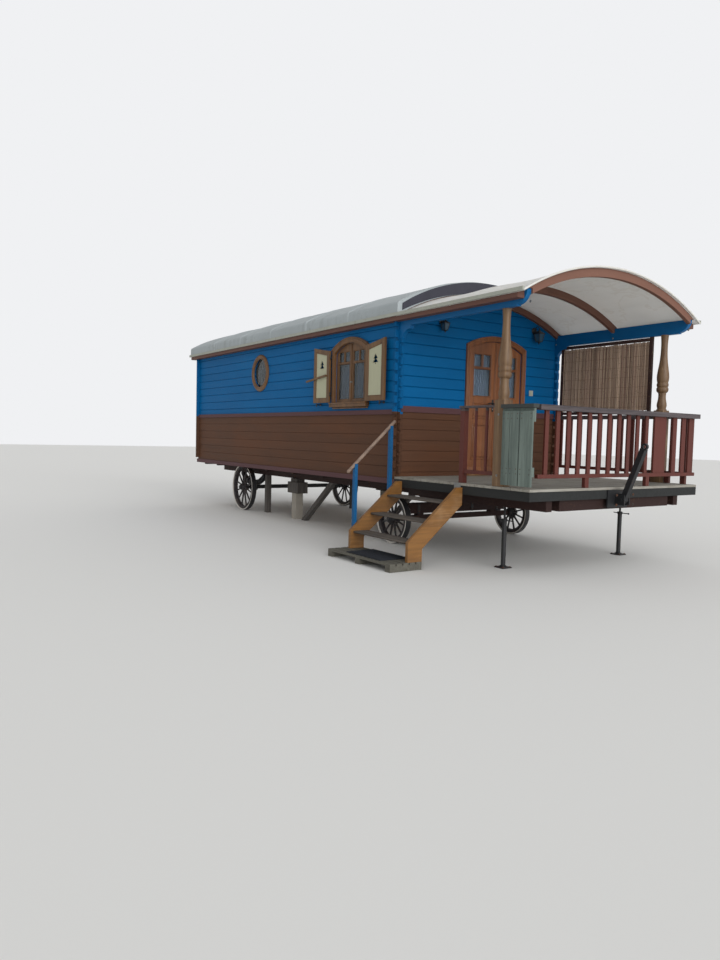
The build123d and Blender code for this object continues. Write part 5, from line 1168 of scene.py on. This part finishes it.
def gathered_curtain(name, place, drop, net, body="root", deep=0.014, stand=0.034):
    """A net curtain gathered on a thin rod: tight folds at the heading, wider and uneven at the foot.

    Its place is the rod's middle, the way along it, the way inwards, and the ends of each half.
    """
    middle, along, inwards, halves = place
    along, inwards = Vector(along), Vector(inwards)
    chance = Random(name)
    cloth, rod = Piece(), Piece()
    for start, end in halves:
        folds = (end - start) / FOLD_PITCH
        phases = [chance.uniform(0, 6.28) for i in range(4)]
        columns = int((end - start) / COLUMN_W)
        rings, lengths = [], []
        for fall in (j / 14 for j in range(15)):
            front = []
            for t in (i / columns for i in range(columns + 1)):
                swing = 0.5 * sin(t * 5 + phases[1] + fall * 0.8) + 0.25 * sin(t * 13 + phases[2])
                wave = sin(2 * pi * folds * t + phases[0] + swing * fall * 2.2)
                reach = deep * (0.55 + 0.45 * fall) * wave * (0.8 + 0.2 * sin(t * 9 + phases[3]))
                point = middle + along * (start + (end - start) * t) + inwards * reach
                front.append(point + UP * (0.004 * (1 - fall) - drop * fall))
            rings.append(front + [point + inwards * NET_T for point in reversed(front)])
            lengths.append(sum((b - a).length for a, b in zip(front, front[1:])))
        cloth.skin(rings)
    low, high = halves[0][0] - 0.012, halves[-1][1] + 0.012
    rod.rod(middle + along * low, middle + along * high, 0.0042, 10)
    for u in (low + 0.006, high - 0.006):
        rod.rod(middle + along * u, middle + along * u - inwards * stand, 0.0035, 8)
    sheet = cloth.make(name, net, "porch_cloth", body, smooth=70)
    rail = rod.make(name + "_rod", ZINC, "bar_steel", body, smooth=40)


def curtains():
    """Nets behind the arched windows, the round ones and the panes of the door."""
    for name, wall in WALLS.items():
        rod = (wall.at(0, 0.760, -NET_BACK), wall.along, -wall.out, NET_HALVES)
        gathered_curtain("curtain_" + name, rod, 0.745, NET)
    for side, name in SIDE_NAMES.items():
        middle = at(ROUND_X, side * (HALF_W - NET_BACK), ROUND_Z + 0.300)
        rod = (middle, (1, 0, 0), (0, -side, 0), ((-0.33, 0.33),))
        gathered_curtain("curtain_round_" + name, rod, 0.600, TEA_NET, stand=0.036)
    for side, name in SIDE_NAMES.items():
        leaf = "door_" + name
        rod = (at(-0.064, DOOR_Y + side * 0.2513, 1.712), (0, 1, 0), (-1, 0, 0), ((-0.185, 0.185),))
        # The door nets' pale sky blue is partly painted reflection of the sky in the glass.
        gathered_curtain("curtain_" + leaf, rod, 0.625, DOOR_NET_SKY_REFLECTION, leaf + "_body", 0.008, 0.019)


ROUND_PROFILE = (
    # distance out from the wall, radius
    (0.0003, 0.236), (0.0003, 0.314), (0.011, 0.314), (0.017, 0.309), (0.019, 0.303), (0.026, 0.299),
    (0.031, 0.290), (0.032, 0.278), (0.029, 0.267), (0.023, 0.262), (0.023, 0.258), (0.028, 0.254),
    (0.029, 0.248), (0.025, 0.241), (0.017, 0.236),
)


def round_windows():
    """Round windows: a turned ring with a rounded face and an inner lip."""
    piece = Piece()
    for side in SIDES:
        piece.turned(at(ROUND_X, side * HALF_W, ROUND_Z), (0, side, 0), ROUND_PROFILE, 80, closed=True)
    piece.make("round_window_rings", JOINERY, "varnish", stands_for=("round_rings",), smooth=35)


# Shutters

SHUTTER_ROWS = (
    # body, name, wall, hand
    ("shutter_rr", "rear_right", "right", -1),
    ("shutter_rf", "front_right", "right", 1),
    ("shutter_lf", "front_left", "left", 1),
    ("shutter_lr", "rear_left", "left", -1),
)
HINGE_BARREL = ((0, 0), (0, 0.0112), (0.041, 0.0112), (0.041, 0.008), (0.046, 0.006), (0.048, 0))
CATCH_PLATE = ((0, 0), (0, 0.020), (0.004, 0.018), (0.007, 0.010), (0.007, 0))


def shutter_trim(body, name, wall, hand):
    """Mouldings round a shutter's panel on both faces, its hinges, and the catch that holds it back."""
    wall = WALLS[wall]
    beads, straps, catch = Piece(), Piece(), Piece()
    near, far, low = hand * 0.526, hand * 0.827, 0.072
    for d, way, high in ((0.0682, 1, 0.009), (0.0538, -1, 0.006)):
        line = [wall.at(u, v, d) for u, v in ((near, low), (far, low), (far, 0.750), (near, 0.694))]
        beads.swept(line, bead_section(0.013, high), wall.out * way, closed=True)
    for v in (0.110, 0.640):
        straps.turned(wall.at(hand * SHUTTER_PIN, v - 0.0005, PIN_OUT), UP, HINGE_BARREL, 16)
        straps.box(wall.at(hand * 0.455, v + 0.002, 0.0442), wall.at(hand * 0.600, v + 0.036, 0.0466), 0.0012)
    foot = wall.at(hand * 0.800, -0.016, 0.0)
    catch.rod(foot, foot + wall.out * 0.070, 0.006, 10)
    catch.turned(foot, wall.out, CATCH_PLATE, 20)
    catch.box(wall.at(hand * 0.790, -0.048, 0.068), wall.at(hand * 0.810, 0.0, 0.078), 0.004)
    beads.make("shutter_beads_" + name, JOINERY, "varnish", body, smooth=35)
    straps.make("shutter_hinges_" + name, BLACK_IRON, "iron", body, smooth=30)
    catch.make("shutter_catch_" + name, BLACK_IRON, "iron", smooth=30)


# Door

LEAF_MID = 0.25125
PANE_W, SMALL_W = 0.3255, 0.15275
DOOR_HALF, DOOR_SPRING, DOOR_APEX = 0.505, 1.745, 1.880
PLINTH_HIGH = 0.150
LEVER_Z = 1.010
LEVER_NECK = (
    (0, 0), (0, 0.016), (0.005, 0.015), (0.009, 0.010), (0.038, 0.009), (0.046, 0.0095), (0.050, 0.006),
    (0.051, 0),
)
LEVER_END = ((0, 0), (0, 0.0078), (0.004, 0.009), (0.009, 0.008), (0.012, 0.004), (0.013, 0))
KEY_PLATE = ((0, 0), (0, 0.010), (0.002, 0.010), (0.0026, 0.006), (0.0026, 0))


def door_joinery():
    """Mouldings of the doorway and of both leaves, plinth blocks and a threshold."""
    wood, sill = Piece(), Piece()
    wall = DOORWAY
    for edge, wide, high in ((0.059, 0.022, 0.012), (0.034, 0.010, 0.005), (0.011, 0.016, 0.008)):
        line = wall.arch(DOOR_HALF + edge, DOOR_SPRING + edge - 0.008, DOOR_APEX + edge, 0.0252, PLINTH_HIGH)
        wood.swept(line, bead_section(wide, high), wall.out)
    for side in SIDES:
        for near, far, low, high, front in (
            (0.0, 0.078, 0.0, PLINTH_HIGH, 0.038),
            (-0.002, 0.080, PLINTH_HIGH, PLINTH_HIGH + 0.012, 0.043),
        ):
            first, last = side * (DOOR_HALF + near), side * (DOOR_HALF + far)
            wood.box(wall.at(first, low, 0.0), wall.at(last, high, front), 0.004)
    wood.make("door_surround", DOOR_VARNISH, "varnish", smooth=35)
    sill.box(wall.at(-0.500, 0.0004, -0.003), wall.at(0.500, 0.020, 0.060), 0.006)
    sill.make("door_threshold", STEP_VARNISH, "step_orange", smooth=35)
    for hand, name in SIDE_NAMES.items():
        door_leaf(hand, name)


def door_leaf(hand, name):
    """One leaf's raised fields, its mouldings and beads, the meeting strip and the weather board."""
    wall, u, body = DOORWAY, hand * LEAF_MID, f"door_{name}_body"
    leaf, panels = Piece(), Piece()

    def bordered(centre, low, high, wide, d, section):
        leaf.swept(wall.frame(centre, low, high, wide, d), section, wall.out, closed=True)

    for low, high in ((0.227, 0.715), (0.800, 1.010)):
        bordered(u, low + 0.002, high - 0.002, PANE_W - 0.004, -0.0069, bead_section(0.020, 0.010))
        steps = ((0.0355, -0.0185), (0.0355, -0.0072), (0.048, -0.0020), (0.052, -0.0015))
        panels.skin([wall.frame(u, low + inset, high - inset, PANE_W - 2 * inset, d) for inset, d in steps])
    panes = [(u, 1.106, 1.490, PANE_W)]
    panes += [(u + way * 0.086375, 1.510, 1.690, SMALL_W) for way in SIDES]
    for centre, low, high, wide in panes:
        bordered(centre, low - 0.003, high + 0.003, wide + 0.006, -0.0069, bead_section(0.011, 0.006))
        bordered(centre, low + 0.004, high - 0.004, wide - 0.008, -0.0218, flat_section(0.0085, 0.010, 0.003))
    leaf.box(wall.at(hand * 0.0032, 0.012, -0.0072), wall.at(hand * 0.020, 1.862, 0.001), 0.005)
    leaf.box(wall.at(hand * 0.030, 0.012, -0.0072), wall.at(hand * 0.470, 0.120, 0.004), 0.006)
    leaf.make("door_mouldings_" + name, DOOR_VARNISH, "varnish", body, smooth=35)
    panels.make("door_fields_" + name, DOOR_VARNISH, "varnish", body, smooth=20)


def lever_handle():
    """A long back plate with a keyhole and a curved lever."""
    piece, hole = Piece(), Piece()
    y, body = DOOR_Y - 0.037, "door_right_body"
    piece.box(at(-0.007, y - 0.017, 0.900), at(-0.0015, y + 0.017, 1.070), 0.003)
    piece.turned(at(-0.003, y, LEVER_Z), (1, 0, 0), LEVER_NECK, 24)
    line = []
    for t in (i / 14 for i in range(15)):
        drop = 0.010 * sin(t * 2.6) - 0.006 * t * t
        line.append(at(0.036 + 0.003 * sin(t * pi), y + 0.004 - 0.118 * t, LEVER_Z + drop))
    piece.swept(line, round_section(0.0078, 12), (1, 0, 0))
    piece.turned(line[-1] + Vector((0, 0.002, 0)), (0, -1, 0), LEVER_END, 14)
    piece.make("lever_handle", BLACK_IRON, "iron", body, ("door_handle",), 35)
    hole.turned(at(-0.0018, y, 0.934), (1, 0, 0), KEY_PLATE, 20)
    hole.make("key_plate", ZINC, "bar_steel", body, smooth=35)


# Reed screen

REED_LAYERS = (
    # name, distance from the mat's middle, number of stalks, seed
    ("reed_stalks", -0.0036, 186, 7),
    ("reed_stalks_behind", 0.0036, 191, 31),
)


def reed_rule():
    """Stalks side by side along the screen, each its own length, thickness and lean."""
    titles = dict.fromkeys(("Width", "Length", "Radius", "Lean"), "Float")
    rule = Rule("reeds", {"Count": "Int", **titles, "Seed": "Int", "Material": "Material"})
    given = rule.given
    low, high = (
        rule.node("ShaderNodeCombineXYZ", None, {"X": rule.times("Width", end)}) for end in (-0.5, 0.5)
    )
    row = rule.node("GeometryNodeMeshLine", {"mode": "END_POINTS"}, {
        "Count": given["Count"], "Start Location": low.outputs[0], "Offset": high.outputs[0],
    })

    def spread(least, most, step):
        seed = rule.node("ShaderNodeMath", {"operation": "ADD"}, {0: given["Seed"], 1: step}).outputs[0]
        inputs = {"Min": least, "Max": most, "Seed": seed}
        return rule.node("FunctionNodeRandomValue", {"data_type": "FLOAT_VECTOR"}, inputs).outputs[0]

    shift = spread((-0.0016, -0.0035, -0.009), (0.0016, 0.0035, 0.009), 0)
    moved = rule.node("GeometryNodeSetPosition", None, {0: row.outputs[0], "Offset": shift})
    stalk = rule.node("GeometryNodeMeshCylinder", None, {
        "Vertices": 8, "Side Segments": 3, "Radius": given["Radius"], "Depth": given["Length"],
    })
    lean = rule.node("ShaderNodeVectorMath", {"operation": "SCALE"}, {
        0: spread((-1, -1, 0), (1, 1, 200), 1), "Scale": given["Lean"],
    })
    rule.end(rule.node("GeometryNodeInstanceOnPoints", None, {
        "Points": moved.outputs[0], "Instance": stalk.outputs[0], "Rotation": lean.outputs[0],
        "Scale": spread((0.72, 0.72, 0.985), (1.3, 1.3, 1.0), 2),
    }).outputs[0])
    return rule


def reed_screen():
    """The reed mat: stalks bound by pairs of wires, tied to its frame."""
    low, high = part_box("reed_mat")
    middle, size = (low + high) / 2, high - low
    values = {"Width": size.x - 0.010, "Length": size.z - 0.014, "Radius": 0.0046, "Lean": 0.0028}
    values["Material"] = REED
    rule = reed_rule()
    for name, away, count, seed in REED_LAYERS:
        reeds = rule.run(bpy.data.meshes.new("reed_line"), {**values, "Count": count, "Seed": seed})
        reeds.transform(Matrix.Translation(middle + Vector((0, away, 0))))
        placed(name, reeds, stands_for=("reed_mat",) if away < 0 else (), smooth=60)
    wires = Piece()
    for i in range(7):
        z = low.z + size.z * (0.06 + 0.88 * i / 6)
        for side in SIDES:
            line = []
            for t in range(81):
                x = low.x - 0.003 + (size.x + 0.008) * t / 80
                y = middle.y + side * 0.0108 * (1 + 0.15 * sin(t * 2.1))
                line.append(Vector((x, y, z + 0.002 * sin(t * 1.3 + i))))
            wires.swept(line, round_section(0.0011, 5), UP)
    wires.make("reed_wires", RUSTY, "bar_steel", smooth=50)


# Running gear

RAIL_Y, SPRING_HALF = 0.950, 0.480
JACK_X, JACK_Y = 1.620, {-1: -1.160, 1: 0.950}
JACK_RINGS = (
    # a ring's rows of height and radius, and its sides: foot plate, collar, head plate
    (((0.0125, 0.0), (0.0125, 0.045), (0.020, 0.043), (0.030, 0.029), (0.030, 0.0)), 28),
    (((0.528, 0.0), (0.528, 0.0285), (0.534, 0.033), (0.556, 0.033), (0.562, 0.028), (0.562, 0.0)), 28),
    (((0.6955, 0.0), (0.6955, 0.040), (0.6995, 0.040), (0.6995, 0.0)), 24),
)
JACK_GRIP = ((0, 0), (0, 0.008), (0.006, 0.011), (0.016, 0.010), (0.022, 0.004), (0.023, 0))


def running_gear():
    """Rear spring clips and U-bolts, bolts through the chassis timbers, jacks' collars and handles."""
    metal = Piece()
    heads, nuts = [], []
    for side in SIDES:
        nuts += rear_spring(metal, side * RAIL_Y)
        for x in (-6.295, -3.535, -1.300, AXLE_FRONT):
            heads += [(at(x, side * 0.9953, z - DECK), (0, side, 0)) for z in (0.735, 0.787)]
        heads += jack_parts(metal, at(JACK_X, JACK_Y[side], -DECK))
    metal.make("gear_clips", GEAR_STEEL, "bar_steel", smooth=35)
    heads += [(at(2.4162, -0.080 + a, b), (1, 0, 0)) for a in (-0.150, 0.150) for b in (-0.190, -0.080)]
    fixings("chassis_bolts", heads, 0.010, 0.008, 6, RUSTY)
    fixings("spring_nuts", nuts, 0.009, 0.010, 6, RUSTY)


def rear_spring(metal, y):
    """Clips, saddle plates, U-bolts and eyes of a rear spring. Returns the places of its nuts."""
    nuts = []
    for along in (-0.330, -0.200, 0.200, 0.330):
        x = AXLE_REAR + along
        base = 0.470 + 0.170 * (abs(along) / SPRING_HALF) ** 2 - DECK
        metal.box(at(x - 0.014, y - 0.0395, base - 0.006), at(x + 0.014, y + 0.0395, base + 0.078), 0.003)
    for low, high in ((0.553, 0.566), (0.388, 0.400)):
        corner = at(AXLE_REAR - 0.075, y - 0.055, low - DECK)
        metal.box(corner, corner + Vector((0.150, 0.110, high - low)), 0.003)
    for along in (-0.050, 0.050):
        for across in (-0.042, 0.042):
            place = at(AXLE_REAR + along, y + across, 0.372 - DECK)
            metal.rod(place, place + UP * 0.214, 0.0065, 10)
            nuts += [(place + UP * 0.015, (0, 0, -1)), (place + UP * 0.198, (0, 0, 1))]
    for way in SIDES:
        place = at(AXLE_REAR + way * (SPRING_HALF - 0.006), y - 0.043, 0.672 - DECK)
        metal.rod(place, place + Vector((0, 0.086, 0)), 0.017, 18)
    return nuts


def jack_parts(metal, foot):
    """A jack's collars, its threaded spindle and its handle. Returns the places of its foot's bolts."""
    for rows, sides in JACK_RINGS:
        metal.turned(foot, UP, rows, sides)
    turns = ((0.0, 0.0112), (0.003, 0.0135))
    thread = [(0.566 + i * 0.006 + step, radius) for i in range(21) for step, radius in turns]
    metal.turned(foot, UP, [(0.566, 0.0), *thread, (0.694, 0.0)], 16)
    metal.rod(foot + Vector((-0.095, 0, 0.545)), foot + Vector((0.120, 0, 0.545)), 0.006, 10)
    metal.turned(foot + Vector((0.118, 0, 0.545)), (1, 0, 0), JACK_GRIP, 14)
    return [(foot + Vector((a, b, 0.0122)), (0, 0, 1)) for a in (-0.054, 0.054) for b in (-0.054, 0.054)]


def bolster_irons():
    """Straps bolted over the front bolster."""
    straps, pins = Piece(), []
    for way in SIDES:
        face = AXLE_FRONT + way * 0.0655
        for y in (-0.760, -0.250, 0.250, 0.760):
            low, high = at(face, y - 0.022, 0.398 - DECK), at(face + way * 0.006, y + 0.022, 0.542 - DECK)
            straps.box(low, high, 0.002)
            pins += [(at(face + way * 0.006, y, z - DECK), (way, 0, 0)) for z in (0.430, 0.510)]
    straps.make("bolster_straps", GEAR_STEEL, "bar_steel", "forecarriage_body", smooth=30)
    fixings("bolster_bolts", pins, 0.008, 0.007, 6, RUSTY, "forecarriage_body")


# Porch and steps

BOARD_FIRST, BOARD_PITCH = 0.0645, 0.12906 + 0.007
SAGE_BOARDS = ((1.906, 2.008), (2.018, 2.142), (2.157, 2.328))
POLE_R, POLE_EASE, POLE_INSET = 0.0207, 0.016, Vector((0.021, 0.014, 0.013))
TREAD_NOSE, TREAD_GOING, TREAD_RISE, PALLET_TOP = -2.2398, 0.250, 0.215, 0.090


def porch_fixings():
    """Deck screws, coach bolts of posts and bows, nails of the weathered boards."""
    screws, bolts, nails = [], [], []
    chance = Random(4)
    for i in range(17):
        x = BOARD_FIRST + i * BOARD_PITCH
        for y in (-1.475, -0.500, 0.0, 0.500, 1.475):
            for along in (-0.040, 0.040):
                shift = (chance.uniform(-0.004, 0.004), chance.uniform(-0.006, 0.006))
                screws.append((at(x + along + shift[0], y + shift[1], 0.0002), (0, 0, 1)))
    for side in SIDES:
        bolts += [(at(POST_X, side * (POST_Y + 0.0705), z), (0, side, 0)) for z in (0.120, 0.780)]
        for x in (0.026, 1.026, 2.144):
            bolts += [(at(x, side * 1.4398, z), (0, -side, 0)) for z in (1.950, 2.030)]
    for first, last in SAGE_BOARDS:
        for x in (first + 0.022, last - 0.022):
            nails += [(at(x, -1.5422, z), (0, -1, 0)) for z in (0.155, 0.205, 0.735, 0.785)]
    fixings("deck_screws", screws, 0.0046, 0.0014, 10, ZINC)
    fixings("coach_bolts", bolts, 0.009, 0.006, 12, ZINC)
    fixings("board_nails", nails, 0.0036, 0.0016, 8, RUSTY)


def porch_plates():
    """The bell push by the door and the zinc plate at the foot of the newel."""
    push, plate = Piece(), Piece()
    push.box(at(0.0, 0.916, 1.160), at(0.009, 0.996, 1.240), 0.006)
    push.box(at(0.009, 0.934, 1.176), at(0.014, 0.978, 1.224), 0.004)
    push.make("bell_push", DRIP, "drip_cream", smooth=35)
    plate.box(at(1.150, -1.5235, -0.070), at(1.262, -1.5195, 0.0), 0.0015)
    plate.make("newel_plate", ZINC, "bar_steel", smooth=30)


def hand_pole():
    """A worn round pole for the hand, thick and thin by turns, with eased ends."""
    low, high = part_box("handrail")
    start, end = low + POLE_INSET, high - POLE_INSET
    way, length = (end - start).normalized(), (end - start).length
    side = Vector((1, 0, 0))
    other = way.cross(side)
    rings = []
    for t in (i / 44 for i in range(45)):
        from_end = min(t, 1 - t) / POLE_EASE
        ease = sqrt(max(1 - (1 - from_end) ** 2, 0.0)) if from_end < 1 else 1.0
        ring = []
        for c, s in round_section(1, 18):
            radius = POLE_R * ease * (1 + 0.035 * noise.noise(Vector((c, s, t * 7))))
            ring.append(start + way * length * t + (side * c + other * s) * radius)
        rings.append(ring if ease > 0.02 else [start + way * length * t])
    pole = Piece()
    pole.skin(rings)
    pole.make("hand_pole", HANDRAIL_WOOD, "rail_blue", stands_for=("handrail",), smooth=60)


def step_parts():
    """The ribbed mat on the pallet, rounded nosings of the treads and the bolts of the handrail's posts."""
    mat, nosing = Piece(), Piece()
    mat.box(at(0.385, -2.490, -0.8599), at(1.060, -2.100, -0.848), 0.004)
    for x in (0.405 + i * 0.030 for i in range(22)):
        mat.box(at(x, -2.478, -0.8485), at(x + 0.014, -2.112, -0.8435), 0.0015)
    mat.make("step_mat", MAT, "wheel_dark", smooth=35)
    for i in range(3):
        y, z = TREAD_NOSE + TREAD_GOING * i, PALLET_TOP + TREAD_RISE * (i + 1) - DECK - 0.0125
        nosing.rod(at(0.1648, y, z), at(1.2472, y, z), 0.0122, 14, 0.05)
    nosing.make("tread_nosings", TREAD_GREY, "tread_grey", smooth=50)
    places = ((-2.197, -0.60), (-2.197, -0.64), (-1.670, -0.12), (-1.670, -0.17))
    bolts = [(at(0.0743, y, z), (-1, 0, 0)) for y, z in places]
    fixings("step_bolts", bolts, 0.0085, 0.006, 6, ZINC)


def wheel_chock():
    """A wedge of wood before the front wheel."""
    low = at(-0.110, -1.205, 0.0005 - DECK)
    outline = ((0, 0), (0.150, 0), (0.150, 0.030), (0.020, 0.085), (0, 0.085))
    chock = Piece()
    chock.skin([[low + Vector((x, y, z)) for x, z in outline] for y in (0.0, 0.110)])
    chock.make("wheel_chock", PALLET_GREY, "pallet", "forecarriage_body", smooth=25)


roof_skin()
porch_canvas()
turned_posts()
hanging_lanterns()
for row in WHEEL_ROWS:
    spoked_wheel(*row)
window_joinery()
curtains()
round_windows()
for row in SHUTTER_ROWS:
    shutter_trim(*row)
door_joinery()
lever_handle()
reed_screen()
running_gear()
bolster_irons()
porch_fixings()
porch_plates()
hand_pole()
step_parts()
wheel_chock()


# Stage: floor, light and the photograph's viewpoint

FLOOR_REACH = 60
WORLD_LIGHT = 0.48
BACKDROP = srgb(240, 241, 243)
CAMERA_PLACE = at(7.452, -7.177, 0.509)
CAMERA_YAW, CAMERA_PITCH, CAMERA_ROLL = radians(145.51), radians(-3.46), radians(1.41)
FOCAL_PX, FRAME_HIGH_PX = 725, 960


def stage_floor():
    """A pale floor that shows white to the camera where nothing shades it."""
    finish = Finish("studio_floor", Base_Color=srgb(230, 230, 228), Roughness=0.9)
    floor_mesh = bpy.data.meshes.new("studio_floor")
    corners = [(x * FLOOR_REACH, y * FLOOR_REACH, -0.001) for x, y in ((-1, -1), (1, -1), (1, 1), (-1, 1))]
    floor_mesh.from_pydata(corners, [], [(0, 1, 2, 3)])
    floor_mesh.materials.append(finish.material)
    floor = bpy.data.objects.new("studio_floor", floor_mesh)
    bpy.context.scene.collection.objects.link(floor)


def studio_world():
    """Even light from all round, and a white backdrop for the camera."""
    world = bpy.data.worlds.new("studio")
    bpy.context.scene.world = world
    world.use_nodes = True
    tree = world.node_tree
    tree.nodes.clear()
    rays = tree.nodes.new("ShaderNodeLightPath").outputs
    inputs = {0: rays["Is Camera Ray"], 1: rays["Is Transmission Ray"]}
    seen = add_node(tree, "ShaderNodeMath", {"operation": "MAXIMUM"}, inputs)
    light = add_node(tree, "ShaderNodeBackground", None, {"Color": (1, 1, 1, 1), "Strength": WORLD_LIGHT})
    backdrop = add_node(tree, "ShaderNodeBackground", None, {"Color": BACKDROP, "Strength": 1.0})
    inputs = {0: seen.outputs[0], 1: light.outputs[0], 2: backdrop.outputs[0]}
    choice = add_node(tree, "ShaderNodeMixShader", None, inputs)
    add_node(tree, "ShaderNodeOutputWorld", None, {"Surface": choice.outputs[0]})


def broad_sun(name, towards, strength, spread):
    """Light of one strength all along the wagon, from a wide part of the sky."""
    lamp = bpy.data.lights.new(name, "SUN")
    lamp.energy = strength
    lamp.angle = radians(spread)
    holder = bpy.data.objects.new(name, lamp)
    holder.rotation_euler = Vector(towards).to_track_quat("-Z", "Y").to_euler()
    bpy.context.scene.collection.objects.link(holder)


def photo_viewpoint():
    """The camera of the photograph, found from the wagon's own straight edges."""
    lens = bpy.data.cameras.new("viewpoint")
    lens.sensor_fit = "VERTICAL"
    lens.sensor_height = 36
    lens.lens = FOCAL_PX / FRAME_HIGH_PX * lens.sensor_height
    camera = bpy.data.objects.new("viewpoint", lens)
    level = Vector((cos(CAMERA_YAW), sin(CAMERA_YAW), 0))
    ahead = level * cos(CAMERA_PITCH) + UP * sin(CAMERA_PITCH)
    right = ahead.cross(UP).normalized()
    above = right.cross(ahead)
    turned_right = right * cos(CAMERA_ROLL) + above * sin(CAMERA_ROLL)
    turned_above = above * cos(CAMERA_ROLL) - right * sin(CAMERA_ROLL)
    turn = Matrix((turned_right, turned_above, -ahead)).transposed()
    camera.matrix_world = Matrix.Translation(CAMERA_PLACE) @ turn.to_4x4()
    bpy.context.scene.collection.objects.link(camera)
    bpy.context.scene.camera = camera


stage_floor()
studio_world()
broad_sun("key", (-0.80, 0.18, -0.60), 0.65, 70)
broad_sun("front", (-0.96, 0.12, -0.14), 1.9, 50)
broad_sun("back", (0.3, -0.8, -0.7), 0.5, 80)
photo_viewpoint()
bpy.context.scene.view_settings.view_transform = "Standard"
